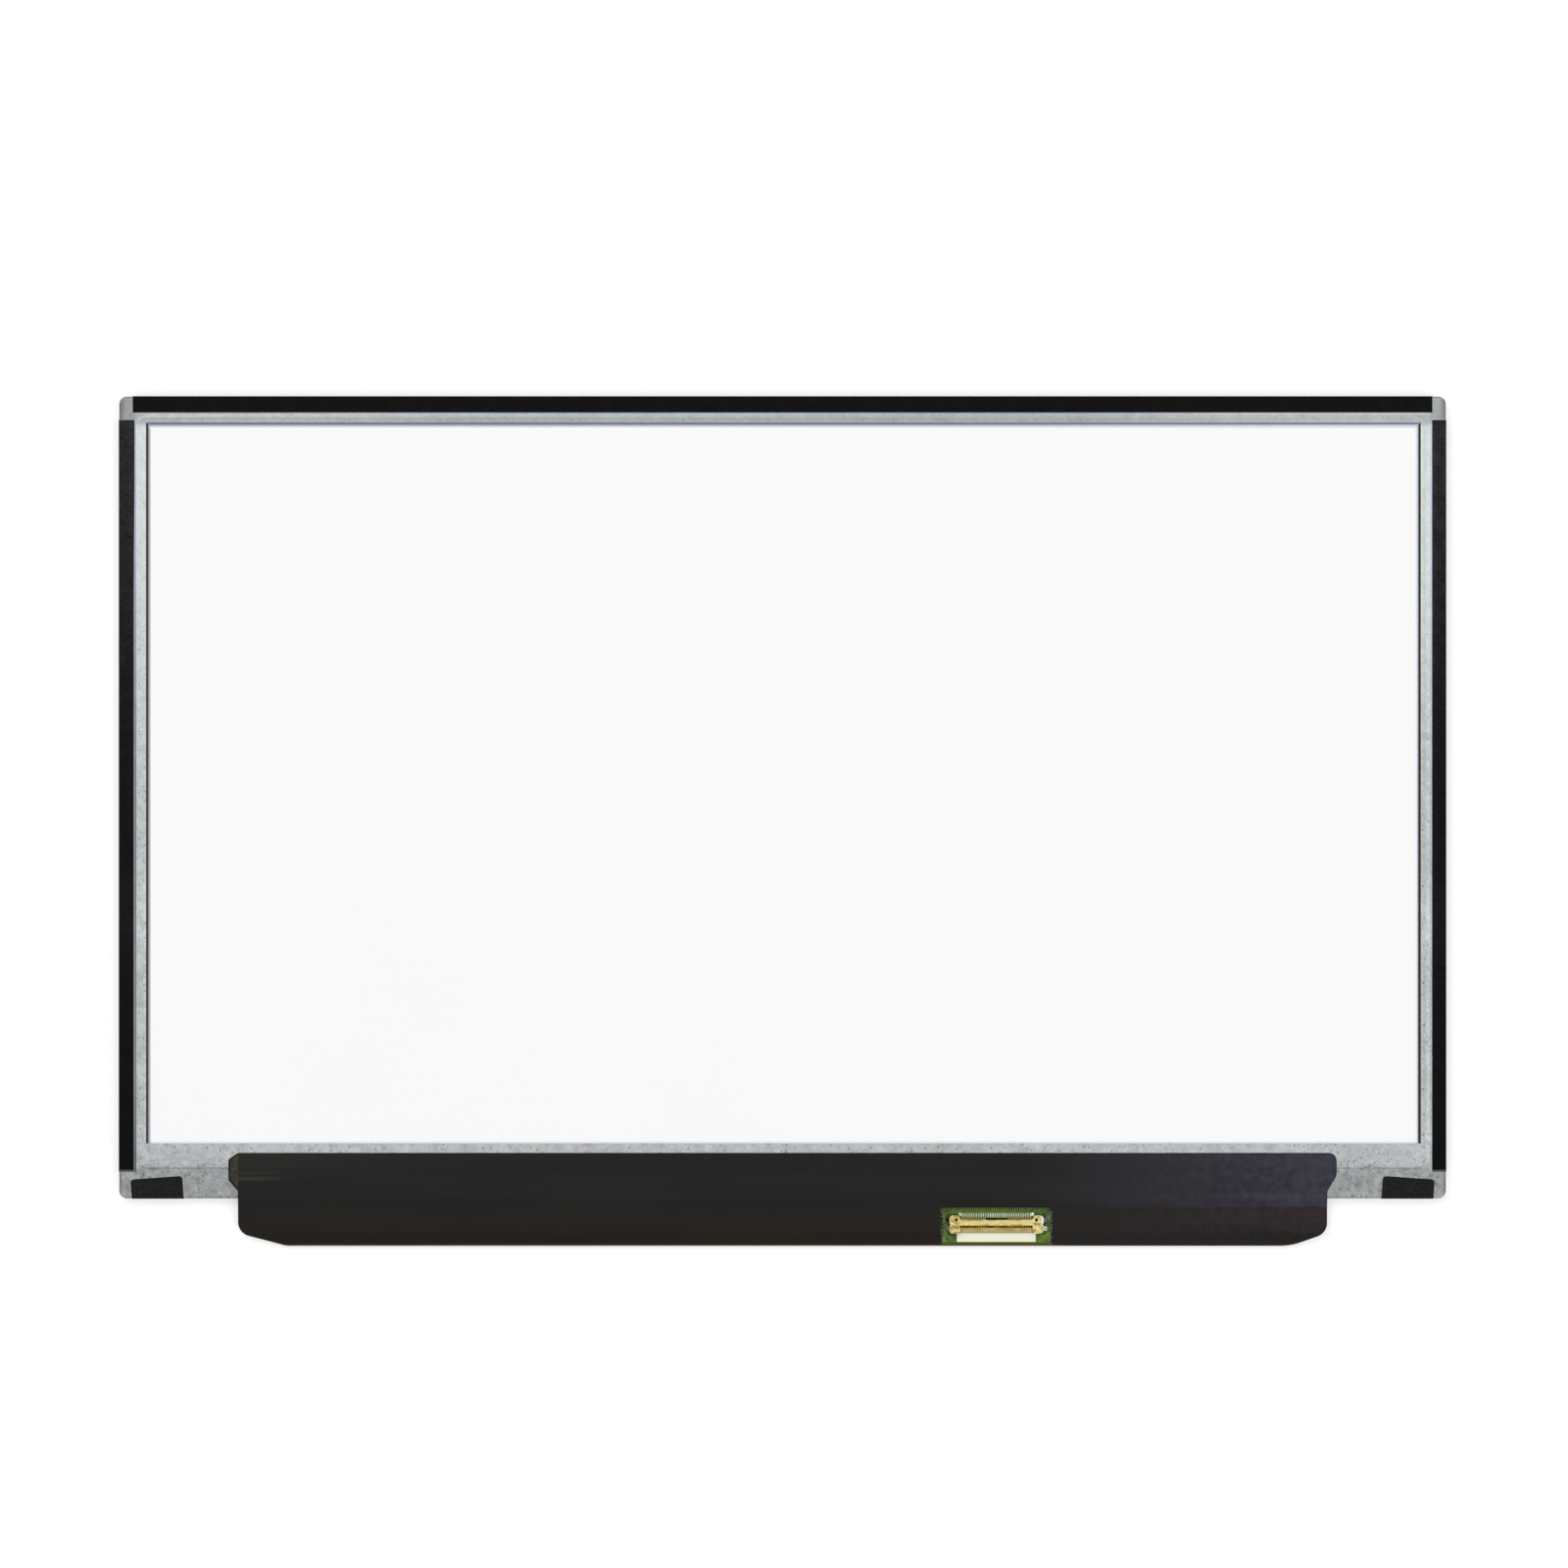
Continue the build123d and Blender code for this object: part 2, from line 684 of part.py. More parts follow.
resistors = board_blocks(
    [(resistor_start + n * part_pitch, row) for n in range(8) for row in (-part_row, part_row)],
    resistor_length,
    resistor_width,
    resistor_height,
)

# Cover film: one bent sheet, trimmed to its outline and cut out round the socket
cover_under = [
    (cover_top, band_back_z),
    (band_bottom, band_back_z),
    (band_bottom - cover_step_run, plate_back_z),
    (steel_bottom, plate_back_z),
    (ramp_foot, cover_board_z),
    (close_head, cover_board_z),
    (cover_bottom + cover_bond, board_back_z),
    (cover_bottom, board_back_z),
]
cover_over = [(y, z + cover_thickness) for y, z in reversed(cover_under)]
ear_half = cover_half + cover_ear
ear_bottom = cover_top - cover_ear_height
neck_top = ear_bottom - cover_ear_taper
slant_top = board_bottom + slant_height
slant_share = 1 - cover_edge_back / slant_height
right_side = [
    (ear_half, cover_top),
    (ear_half, ear_bottom),
    (cover_half, neck_top),
    (cover_half, slant_top),
    (board_half - slant_share * right_slant_width, cover_bottom),
]
left_side = [
    (slant_share * left_slant_width - board_half, cover_bottom),
    (-cover_half, slant_top),
    (-cover_half, neck_top),
    (-ear_half, ear_bottom - left_ear_drop),
    (-ear_half, cover_top - left_ear_slant),
    (-cover_half, cover_top),
]
cut_width = socket_width + 2 * (shell_foot_reach + cover_cut_side)
cut_top = socket_back + cover_cut_back
right_radii = [cover_ear_radius] * 3 + [board_side_radius, right_foot_radius]
left_radii = [left_foot_radius, board_side_radius] + [left_ear_radius] * 4
with BuildPart() as cover_film:
    with BuildSketch(Plane.YZ):
        with BuildLine():
            Polyline(*cover_under, *cover_over, close=True)
        make_face()
    extrude(amount=ear_half, both=True)
    with BuildSketch(Plane.XY.offset(board_back_z)):
        with BuildLine():
            FilletPolyline(*right_side, *left_side, radius=right_radii + left_radii, close=True)
        make_face()
        with Locations((socket_x, cover_bottom)):
            Rectangle(cut_width, 2 * (cut_top - cover_bottom), mode=Mode.SUBTRACT)
    extrude(amount=band_back_z + cover_thickness - board_back_z, mode=Mode.INTERSECT)

pieces = {
    "front_polarizer": front_polarizer,
    "colour_filter_glass": colour_filter_glass,
    "array_glass": array_glass,
    "rear_polarizer": rear_polarizer,
    "cell_tape": cell_tape,
    "mould_frame": mould_frame,
    "upper_prism_sheet": upper_prism_sheet,
    "lower_prism_sheet": lower_prism_sheet,
    "diffuser_sheet": diffuser_sheet,
    "light_guide": light_guide,
    "reflector_sheet": reflector_sheet,
    "led_flex": led_flex,
    "leds": leds,
    "rear_frame": rear_frame,
    "top_tape": top_tape,
    "left_tape": left_tape,
    "right_tape": right_tape,
    "left_corner_tape": left_corner_tape,
    "right_corner_tape": right_corner_tape,
    "circuit_board": circuit_board,
    "driver_films": driver_films,
    "driver_chips": driver_chips,
    "driver_cover_tape": driver_cover_tape,
    "connector_housing": connector_housing,
    "connector_contacts": connector_contacts,
    "connector_shell": connector_shell,
    "blank_label": blank_label,
    "timing_chip": timing_chip,
    "power_chip": power_chip,
    "lamp_driver_chip": lamp_driver_chip,
    "memory_chip": memory_chip,
    "inductors": inductors,
    "capacitors": capacitors,
    "resistors": resistors,
    "cover_film": cover_film,
}

os.makedirs("parts", exist_ok=True)
for name, piece in pieces.items():
    piece.part.label = name
    export_step(piece.part, f"parts/{name}.step")
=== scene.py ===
import math

import bmesh
import bpy
import numpy as np
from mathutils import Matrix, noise


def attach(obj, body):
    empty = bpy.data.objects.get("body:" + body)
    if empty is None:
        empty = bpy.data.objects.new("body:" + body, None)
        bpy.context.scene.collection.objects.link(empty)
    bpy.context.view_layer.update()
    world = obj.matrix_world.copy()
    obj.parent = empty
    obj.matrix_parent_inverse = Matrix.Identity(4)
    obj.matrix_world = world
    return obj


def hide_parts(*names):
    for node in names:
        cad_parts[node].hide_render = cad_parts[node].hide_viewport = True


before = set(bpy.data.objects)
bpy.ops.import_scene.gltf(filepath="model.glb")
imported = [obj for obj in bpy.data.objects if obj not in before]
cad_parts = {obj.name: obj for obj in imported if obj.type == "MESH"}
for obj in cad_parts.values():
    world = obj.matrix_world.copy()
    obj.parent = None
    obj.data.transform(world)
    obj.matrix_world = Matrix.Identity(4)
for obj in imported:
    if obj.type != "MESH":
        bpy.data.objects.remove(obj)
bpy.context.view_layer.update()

# Sizes in millimetres: X along the long side, Y to the top edge, Z up out of the back
MM = 0.001
WINDOW_MIDDLE = 0.18
WINDOW_HALF = 135.05
WINDOW_TOP = 84.15
WINDOW_BOTTOM = -68.7
WINDOW_LIP = 0.9
STEEL_HALF = 141.4
STEEL_TOP = 90.5
STEEL_BOTTOM = -80.4
STEEL_BACK = 2.73
STEP_LINE = -73.9
BAND_TURN_X = 135.0
BAND_TURN_Y = 84.1
TAPE_END = -74.72
# Middle of the painted reflection band across the side rails and their tapes
REFLECTION_BAND_Y = -20.5
LEFT_TAPE_EDGE = -138.4
RIGHT_TAPE_EDGE = 138.45
TAPE_END_MARGIN = 0.42
MARGIN_WIDTH = 0.66
MARGIN_TOP = 85.5
MARGIN_TAPER_FROM = 30.0
MARGIN_THICKNESS = 0.05
GLASS_HALF = 140.5
GLASS_TOP = 89.6
LAMP_FACE = -70.75
BOARD_HALF = 116.0
BOARD_BACK = 1.2
BOARD_FRONT = 0.6
SOCKET_X = 45.6
SOCKET_MIDDLE = -86.0
CONTACT_COUNT = 30
CONTACT_PITCH = 0.5
CONTACT_ROW_HALF = CONTACT_COUNT * CONTACT_PITCH / 2
TAIL_BACK = -83.585
TAIL_FRONT = -84.515
SHELL_BACK = -84.635
SHELL_FRONT = -86.235
SHELL_BAR_HALF = 7.8
SILL_BACK = -86.75
LABEL_BOTTOM = -89.75
PART_PITCH = 3.0
PART_LENGTH = 1.0
FIRST_CAPACITOR = -40.8
FIRST_RESISTOR = PART_PITCH - BOARD_HALF

# Solder mounds: width, length and height, and how far apart they stand
TAIL_MOUND = (0.40, 0.98, 0.14)
FOOT_MOUND = (1.0, 1.1, 0.20)
FOOT_SPREAD = 20.8
FOOT_PITCH = 1.75
ANCHOR_MOUND = (0.85, 0.90, 0.30)
ANCHOR_SPREAD = 15.5
ANCHOR_PITCH = 0.25
ANCHOR_MIDDLE = -83.95

# Cover film: corners of its cut outline with their radii, and its folds over the step and the board
COVER_TOP = -70.7
COVER_BOTTOM = -90.35
COVER_HALF = 116.1
COVER_THICKNESS = 0.07
EAR_HALF = 118.1
EAR_FOOT = -78.85
SLANT_TOP = -87.85
RIGHT_CORNERS = [
    (EAR_HALF, COVER_TOP, 1.7),
    (EAR_HALF, -75.55, 1.7),
    (COVER_HALF, EAR_FOOT, 1.7),
    (COVER_HALF, SLANT_TOP, 3.1),
    (109.18, COVER_BOTTOM, 12.0),
]
LEFT_CORNERS = [
    (-COVER_HALF, COVER_TOP, 0.4),
    (-EAR_HALF, -72.1, 0.4),
    (-EAR_HALF, -76.45, 0.4),
    (-COVER_HALF, EAR_FOOT, 0.4),
    (-COVER_HALF, SLANT_TOP, 3.1),
    (-106.73, COVER_BOTTOM, 1.0),
]
COVER_FOLDS = [
    (COVER_TOP, 3.03),
    (-73.82, 3.03),
    (-74.72, 2.83),
    (STEEL_BOTTOM, 2.83),
    (-82.2, 2.30),
    (-87.6, 2.30),
    (-89.6, 1.30),
    (COVER_BOTTOM, 1.30),
]
EAR_UPPER_SLANT = (-0.574, 0.819)
EAR_LOWER_SLANT = (-0.768, -0.640)
CUT_HALF = 11.6
CUT_TOP = -82.4
LOW_EDGE_DROP = 0.2
FILM_SAG = 0.20
FILM_BEND = 0.28
FILM_BEND_SPOTS = 9
FILM_ARC_POINTS = 9
FILM_ROW_STEP = 0.35
FILM_LEAST_STEP = 0.08

# Places along X or Y, and the share of a drop, a sag or a wave that the film has at each
LOW_EDGE_ALONG = ([58.0, 62.0, 103.0, 108.0], [0.0, 1.0, 1.0, 0.0])
LOW_EDGE_UP = ([COVER_BOTTOM, -89.2], [1.0, 0.0])
SAG_UP = ([-89.0, -87.2, -83.0, -81.8], [0.0, 1.0, 1.0, 0.0])
WAVE_UP = ([COVER_BOTTOM, -89.4, -82.0, -79.5, -74.9, -73.4], [0.0, 1.0, 1.0, 0.25, 0.25, 0.12])

# X place and half width of each board part that holds the film up, and of the socket's ends
HIGH_PARTS = [(-66.6, 2.4), (-58.0, 2.6), (-49.4, 2.4), (9.75, 2.0), (18.35, 2.6), (89.6, 2.4), (98.2, 2.4)]
SOCKET_END = 12.5
SOCKET_END_REACH = 1.6

# Share of their tones that the metals keep, since they show the white surroundings
STEEL_SHARE = 0.834
PLATE_SHARE = 0.82


# Node trees, with their sums written in Python
class Wire:
    """One socket of a node tree. A sum written on wires becomes Math nodes."""

    def __init__(self, owner, socket):
        self.owner = owner
        self.socket = socket

    def maths(self, operation, first, second=0.0):
        return self.owner.node("ShaderNodeMath", {"operation": operation}, {0: first, 1: second})

    def __add__(self, other):
        return self.maths("ADD", self, other)

    def __sub__(self, other):
        return self.maths("SUBTRACT", self, other)

    def __rsub__(self, other):
        return self.maths("SUBTRACT", other, self)

    def __mul__(self, other):
        return self.maths("MULTIPLY", self, other)

    def __truediv__(self, other):
        return self.maths("DIVIDE", self, other)

    def __abs__(self):
        return self.maths("ABSOLUTE", self)

    def above(self, limit):
        return self.maths("GREATER_THAN", self, limit)

    def below(self, limit):
        return self.maths("LESS_THAN", self, limit)

    def most(self, other):
        return self.maths("MAXIMUM", self, other)

    def part(self):
        return self.maths("FRACT", self)


class Nodes:
    """A node tree that is filled one node at a time."""

    def __init__(self, tree):
        self.tree = tree

    def node(self, kind, settings=None, inputs=None, output=0):
        """Add a node: its settings first, then the value or the wire of each socket."""
        made = self.tree.nodes.new(kind)
        for name, value in (settings or {}).items():
            setattr(made, name, value)
        for name, value in (inputs or {}).items():
            socket = made.inputs[name]
            if isinstance(value, Wire):
                self.tree.links.new(value.socket, socket)
            else:
                socket.default_value = value
        return Wire(self, made.outputs[output])

    def split(self, vector, names):
        """The named axes of a vector."""
        parts = self.node("ShaderNodeSeparateXYZ", {}, {0: vector}).socket.node
        return [Wire(self, parts.outputs[name]) for name in names]

    def seen(self):
        """1 for rays that show a thing to the camera, straight or by gloss or glass, and 0 for its light."""
        rays = self.node("ShaderNodeLightPath").socket.node
        names = ("Is Camera Ray", "Is Glossy Ray", "Is Transmission Ray")
        straight, glossy, through = [Wire(self, rays.outputs[name]) for name in names]
        return straight.most(glossy).most(through)


class Finish(Nodes):
    """A material made of nodes on Object coordinates, counted in millimetres."""

    def __init__(self, name, **constants):
        self.material = bpy.data.materials.new(name)
        self.material.use_nodes = True
        super().__init__(self.material.node_tree)
        self.shader = self.tree.nodes["Principled BSDF"]
        for socket, value in constants.items():
            self.shader.inputs[socket.replace("_", " ")].default_value = value
        metres = self.node("ShaderNodeTexCoord", output="Object")
        self.place = self.node("ShaderNodeVectorMath", {"operation": "SCALE"}, {0: metres, "Scale": 1.0 / MM})

    def axes(self, names):
        """The named coordinates of a point, in millimetres."""
        return self.split(self.place, names)

    def stretched(self, scale):
        """Place with a scale of its own for each axis."""
        return self.node("ShaderNodeVectorMath", {"operation": "MULTIPLY"}, {0: self.place, 1: scale})

    def slanted(self, angle, stretch):
        """Place for a pattern that runs aslant, longer along its own Y."""
        sockets = {"Vector": self.place, "Rotation": (0.0, 0.0, angle), "Scale": (1.0, stretch, 1.0)}
        return self.node("ShaderNodeMapping", {"vector_type": "TEXTURE"}, sockets)

    def cloud(self, size, detail=3.0, roughness=0.55, stretch=None, where=None):
        """Soft noise about 0.5 whose blots are about as wide as size."""
        where = where or (self.stretched(stretch) if stretch else self.place)
        sockets = {"Vector": where, "Scale": 1.0 / size, "Detail": detail, "Roughness": roughness}
        return self.node("ShaderNodeTexNoise", {}, sockets, "Fac")

    def cells(self, size, output="Distance", stretch=None):
        """Cells about as wide as size: the distance to a cell's middle, or a chance colour for each cell."""
        where = self.stretched(stretch) if stretch else self.place
        return self.node("ShaderNodeTexVoronoi", {}, {"Vector": where, "Scale": 1.0 / size}, output)

    def chance(self, size, stretch=None):
        """A chance value between 0 and 1 for each cell."""
        return self.node("ShaderNodeSeparateColor", {}, {0: self.cells(size, "Color", stretch)})

    def fade(self, value, start, end):
        """0 up to start and 1 from end on, with a soft change between."""
        sockets = {"Value": value, "From Min": start, "From Max": end}
        return self.node("ShaderNodeMapRange", {"interpolation_type": "SMOOTHSTEP"}, sockets)

    def blend(self, mask, first, second, mode="MIX"):
        """A colour that goes from the first to the second where the mask is 1."""
        settings = {"data_type": "RGBA", "blend_type": mode}
        return self.node("ShaderNodeMix", settings, {0: mask, 6: colour(first), 7: colour(second)}, 2)

    def shade(self, tone, amount):
        """Make a colour lighter or darker by a value."""
        return self.blend(1.0, tone, amount, "MULTIPLY")

    def feed(self, **sockets):
        """Link wires to the shader's own sockets."""
        for name, wire in sockets.items():
            self.tree.links.new(wire.socket, self.shader.inputs[name.replace("_", " ")])

    def emboss(self, height, depth, strength):
        """Raise the surface by a height between 0 and 1, which stands for the depth in millimetres."""
        sockets = {"Height": height, "Distance": depth * MM, "Strength": strength}
        self.feed(Normal=self.node("ShaderNodeBump", {}, sockets))


def colour(value):
    """Give a grey or a plain colour its four numbers. Wires pass as they are."""
    if isinstance(value, float):
        return (value, value, value, 1.0)
    if isinstance(value, tuple):
        return (*value, 1.0)
    return value


# Finishes of the pieces
def painted_reflection_band(finish, y):
    """Mask for the painted reflection band that runs across both side rails and their tapes."""
    return finish.fade(abs(y - REFLECTION_BAND_Y), 13.0, 1.0)


def whiter_mid_row(finish, x, tone):
    """Whiten the tone of the tinned tails in the middle of the row."""
    mid_row = finish.fade(abs(x - SOCKET_X), 2.3, 1.5)
    return finish.blend(mid_row, tone, finish.shade(tone, (1.14, 1.12, 1.28)))


def galvanised_steel():
    """Zinc-coated sheet with fine spangle, brighter along the sides, with painted shade on the window lip,
    the bends and the step.
    """
    finish = Finish("galvanised_steel", Metallic=1.0)
    x, y = finish.axes("XY")
    across = abs(x)
    side_lip = abs(x - WINDOW_MIDDLE) - WINDOW_HALF
    top_lip = y - WINDOW_TOP
    lip = side_lip.most(top_lip)
    beside = finish.fade(across, 134.2, 135.0) * finish.fade(y, -71.0, -60.0)
    above = finish.fade(y, 83.6, 85.4)
    corner = finish.fade(across, 137.4, 138.4) * finish.fade(y, 84.8, 86.0)
    right = finish.fade(x, 20.0, 120.0)
    low_rail = finish.fade(abs(y + 77.6), 2.2, 0.8)
    foot_tone = finish.blend(low_rail, (0.336, 0.349, 0.351), (0.306, 0.318, 0.321))
    rail_tone = finish.blend(finish.fade(y, -73.0, STEP_LINE), (0.440, 0.462, 0.469), (0.392, 0.411, 0.416))
    tone = finish.blend(finish.fade(y, STEP_LINE - 0.25, STEP_LINE + 0.1), foot_tone, rail_tone)
    tone = finish.blend(finish.fade(y, -71.2, -69.8), tone, (0.470, 0.486, 0.500))
    side_tone = finish.blend(finish.fade(y, -25.0, 85.0), (0.472, 0.500, 0.498), (0.612, 0.652, 0.662))
    # Painted reflection band across the side rails.
    side_tone = finish.blend(painted_reflection_band(finish, y), side_tone, finish.shade(side_tone, 1.13))
    # Painted shade on the lower part of the right rail, where the lamps light it more.
    shaded_right_rail = right * finish.fade(y, 70.0, 0.0)
    side_tone = finish.blend(shaded_right_rail, side_tone, finish.shade(side_tone, 0.91))
    tone = finish.blend(beside, tone, side_tone)
    end_tone = finish.blend(x.above(0.0), (0.386, 0.402, 0.403), (0.440, 0.458, 0.460))
    top_tone = finish.blend(finish.fade(across, 60.0, 100.0), (0.372, 0.388, 0.389), end_tone)
    under_tape = finish.fade(y, 86.4, 86.9) * finish.fade(x, 60.0, 100.0)
    top_tone = finish.blend(under_tape, top_tone, finish.shade(top_tone, (1.13, 1.13, 1.12)))
    tone = finish.blend(above, tone, top_tone)
    tone = finish.blend(corner, tone, finish.blend(right, (0.307, 0.322, 0.320), (0.375, 0.391, 0.394)))
    upper = finish.fade(y, -68.0, -50.0) * (1.0 - corner)
    mid_top = finish.fade(across, 110.0, 60.0).most(1.0 - above)
    patchy = finish.cloud(3.2, 3.0, 0.6, (1.0, 0.4, 1.0)) * 1.1 + 0.2
    green = finish.fade(lip, 2.3, 1.1) * upper * patchy * mid_top
    blue = finish.fade(lip, 1.5, 2.6) * upper * patchy * mid_top
    tone = finish.blend(green, tone, finish.shade(tone, (0.97, 1.02, 0.89)))
    bluish = finish.blend(above, (0.97, 0.985, 1.05), (0.975, 1.05, 1.23))
    tone = finish.blend(blue, tone, finish.shade(tone, bluish))
    spangled = 1.0 - finish.fade(y, -20.0, 70.0) * 0.62
    spangle = finish.chance(1.9) * 0.15 + finish.chance(0.7) * 0.17
    spangle = spangle + finish.cloud(0.35, 4.0, 0.68) * 0.62 - 0.47
    drawn = finish.cloud(1.4, 3.0, 0.6, (0.03, 2.2, 1.0)) * above * 0.34 - above * 0.17
    tone = finish.shade(tone, spangle * spangled + drawn + 1.0)
    speck = finish.fade(finish.cells(0.95), 0.36, 0.10) * finish.chance(0.95).above(0.60)
    leaning = (1.0, 0.6, 1.0)
    glint = finish.fade(finish.cells(0.85, stretch=leaning), 0.34, 0.12)
    glint = glint * finish.chance(0.85, leaning).above(0.74)
    smudge = finish.fade(finish.cloud(1.1, 3.0, 0.62, (0.7, 1.1, 1.0)), 0.53, 0.68) * y.below(STEP_LINE + 2.0)
    tone = finish.blend(speck * spangled * 0.80, tone, finish.shade(tone, (0.42, 0.43, 0.43)))
    tone = finish.blend(smudge * 0.75, tone, finish.shade(tone, (0.62, 0.63, 0.65)))
    tone = finish.blend(glint * spangled * 0.42, tone, finish.shade(tone, (1.50, 1.49, 1.46)))
    aslant = finish.cloud(1.3, 2.0, 0.5, where=finish.slanted(0.55, 2.0)) - 0.5
    tone = finish.shade(tone, aslant * (finish.fade(y, STEP_LINE + 0.3, STEP_LINE) * 0.5 + 0.25) + 1.0)
    # Painted shade along the crease of the pressed step.
    crease_shade = finish.fade(abs(y - STEP_LINE), 0.26, 0.08) * across.below(136.0)
    crease_shade = crease_shade * finish.fade(finish.cloud(2.5, 2.0), 0.36, 0.60)
    tone = finish.blend(crease_shade * 0.5, tone, finish.shade(tone, 0.66))
    # Painted shade at the outer bends and rounded corners of the sheet.
    rim = finish.fade(across, STEEL_HALF - 0.9, STEEL_HALF).most(finish.fade(y, STEEL_TOP - 0.5, STEEL_TOP))
    rim = rim.most(finish.fade(y, STEEL_BOTTOM + 0.4, STEEL_BOTTOM))
    rim = rim.most(finish.fade(across, STEEL_HALF - 1.8, STEEL_HALF - 0.1) * corner)
    tone = finish.blend(rim * 0.7, tone, finish.shade(tone, 0.38))
    # Painted shade over the rounded corner of the pressed band at the upper left, which tones down its
    # highlight.
    turn_x = (across - BAND_TURN_X).most(0.0)
    turn_y = (y - BAND_TURN_Y).most(0.0)
    turned = turn_x * turn_x + turn_y * turn_y
    turned = finish.fade(turned, 3.2, 4.2) * finish.fade(turned, 8.4, 7.2)
    turned = turned * finish.fade(turn_x, 0.0, 0.9) * finish.fade(turn_y, 0.0, 0.9) * x.below(0.0)
    tone = finish.blend(turned, tone, finish.shade(tone, 0.80))
    # Painted shade on the window lip: lavender-grey next to the window, dark further out.
    in_window = lip.below(WINDOW_LIP - 0.1) * y.above(WINDOW_BOTTOM + 0.02)
    on_top = finish.fade(top_lip - side_lip, -0.1, 0.1)
    near_right = finish.blend(finish.fade(y, -40.0, 70.0), (0.205, 0.180, 0.230), (0.320, 0.300, 0.378))
    near_side = finish.blend(right, (0.346, 0.314, 0.409), near_right)
    near_top = finish.blend(right, (0.56, 0.57, 0.68), (0.67, 0.68, 0.77))
    near = finish.blend(on_top, near_side, near_top)
    far_side = finish.blend(right, (0.040, 0.040, 0.041), (0.028, 0.028, 0.029))
    far = finish.blend(on_top, far_side, (0.198, 0.200, 0.280))
    painted_lip_shade = finish.blend(finish.fade(lip, 0.18, 0.46), near, far)
    tone = finish.blend(in_window, tone, painted_lip_shade)
    tone = finish.shade(tone, STEEL_SHARE)
    finish.feed(Base_Color=tone, Roughness=finish.cloud(0.8) * 0.16 + 0.34)
    finish.emboss(finish.cloud(0.22, 4.0) * 0.6 + finish.chance(0.62) * 0.4, 0.02, 0.7)
    return finish.material


def edge_tape(name, tones, inner_edge=None, end_margin=0.0):
    """Thin black tape, lighter towards the top and in a painted reflection band, with a clear margin at its
    lower end.
    """
    finish = Finish(name, Specular_IOR_Level=0.048)
    x, y = finish.axes("XY")
    low, middle, high = tones
    tone = finish.blend(finish.fade(y, -80.0, 0.0), low, middle)
    tone = finish.blend(finish.fade(y, 2.0, 92.0), tone, high)
    # Painted reflection band across the tape.
    tone = finish.blend(painted_reflection_band(finish, y), tone, finish.shade(tone, 1.65))
    if inner_edge is not None:
        near_edge = finish.fade(abs(x - inner_edge), 1.1, 0.4)
        tone = finish.blend(near_edge, tone, finish.shade(tone, (1.30, 1.27, 1.65)))
    fibre = finish.cloud(0.75, 3.0, 0.65) * 0.6 + finish.cloud(2.8, 3.0) * 0.4
    tone = finish.shade(tone, fibre * 3.6 - 0.8)
    if end_margin > 0:
        margin = y.below(TAPE_END + end_margin)
        clear = finish.blend(finish.cloud(0.8), (0.055, 0.056, 0.058), (0.085, 0.087, 0.089))
        tone = finish.blend(margin, tone, clear)
    finish.feed(Base_Color=tone, Roughness=fibre * 0.2 + 0.42)
    finish.emboss(fibre, 0.03, 0.5)
    return finish.material


def clear_margin():
    """Frosted clear edge of the left tape, grey where the steel shows through, with a painted shadow line by
    its cut edge.
    """
    finish = Finish("clear_tape_margin", Specular_IOR_Level=0.08)
    x, y = finish.axes("XY")
    out = x - LEFT_TAPE_EDGE
    grey = finish.blend(finish.fade(y, -75.0, -52.0), (0.165, 0.167, 0.172), (0.290, 0.293, 0.304))
    grey = finish.blend(finish.fade(y, 25.0, 80.0), grey, (0.43, 0.44, 0.46))
    # Painted shadow along the margin's cut edge, in its lower part.
    line = finish.fade(out, 0.34, 0.44) * finish.fade(y, 45.0, 0.0)
    tone = finish.blend(line, grey, finish.shade(grey, (0.52, 0.53, 0.55)))
    tone = finish.shade(tone, finish.cloud(0.9, 3.0, stretch=(1.0, 0.4, 1.0)) * 0.5 + 0.75)
    black = finish.blend(finish.fade(y, 0.0, 80.0), (0.0035, 0.0035, 0.0045), (0.018, 0.018, 0.026))
    black_width = finish.fade(y, 45.0, 78.0) * 0.16 + 0.12
    tone = finish.blend(out.below(black_width), tone, black)
    finish.feed(Base_Color=tone, Roughness=finish.cloud(0.6) * 0.2 + 0.3)
    return finish.material


def corner_tape():
    """Small black cloth-backed tape with a fine dull grain."""
    finish = Finish("corner_tape", Specular_IOR_Level=0.048)
    weave = finish.cloud(0.28, 3.0, 0.6)
    tone = finish.blend(finish.cloud(3.0, 3.0), (0.0095, 0.0095, 0.0088), (0.0150, 0.0150, 0.0138))
    speckle = finish.cloud(0.7, 3.0, 0.65)
    tone = finish.shade(tone, weave * 1.4 + speckle * 2.2 - 0.8)
    finish.feed(Base_Color=tone, Roughness=weave * 0.2 + 0.5)
    finish.emboss(weave, 0.04, 0.7)
    return finish.material


def reflector_film():
    """Bright white film with a silky face, with painted lavender-grey shadow beside the window's edges."""
    finish = Finish("reflector_film", Specular_IOR_Level=0.16)
    x, y = finish.axes("XY")
    lip = (abs(x - WINDOW_MIDDLE) - WINDOW_HALF).most(y - WINDOW_TOP)
    tone = finish.blend(finish.cloud(60.0, 2.0), (0.932, 0.932, 0.934), (0.948, 0.948, 0.948))
    # Painted shadow: lavender-grey beside the window's edges.
    tone = finish.blend(finish.fade(lip, -0.5, 0.0) * 0.6, tone, (0.88, 0.87, 0.955))
    shaded = finish.fade(lip, -0.20, -0.06) * y.below(WINDOW_TOP - 0.4) * (1.0 - x.above(0.0) * 0.8)
    tone = finish.blend(shaded * 0.75, tone, (0.42, 0.38, 0.45))
    # Painted shadow: a wider lavender-grey band beside the window's upper right edges.
    upper_right = finish.fade(x, 10.0, 110.0) * finish.fade(y, 10.0, 75.0)
    tone = finish.blend(finish.fade(lip, -0.42, -0.10) * upper_right, tone, (0.80, 0.80, 0.87))
    grain = finish.cloud(0.5, 4.0, 0.6)
    finish.feed(Base_Color=tone, Roughness=grain * 0.15 + 0.42)
    finish.emboss(grain, 0.01, 0.3)
    return finish.material


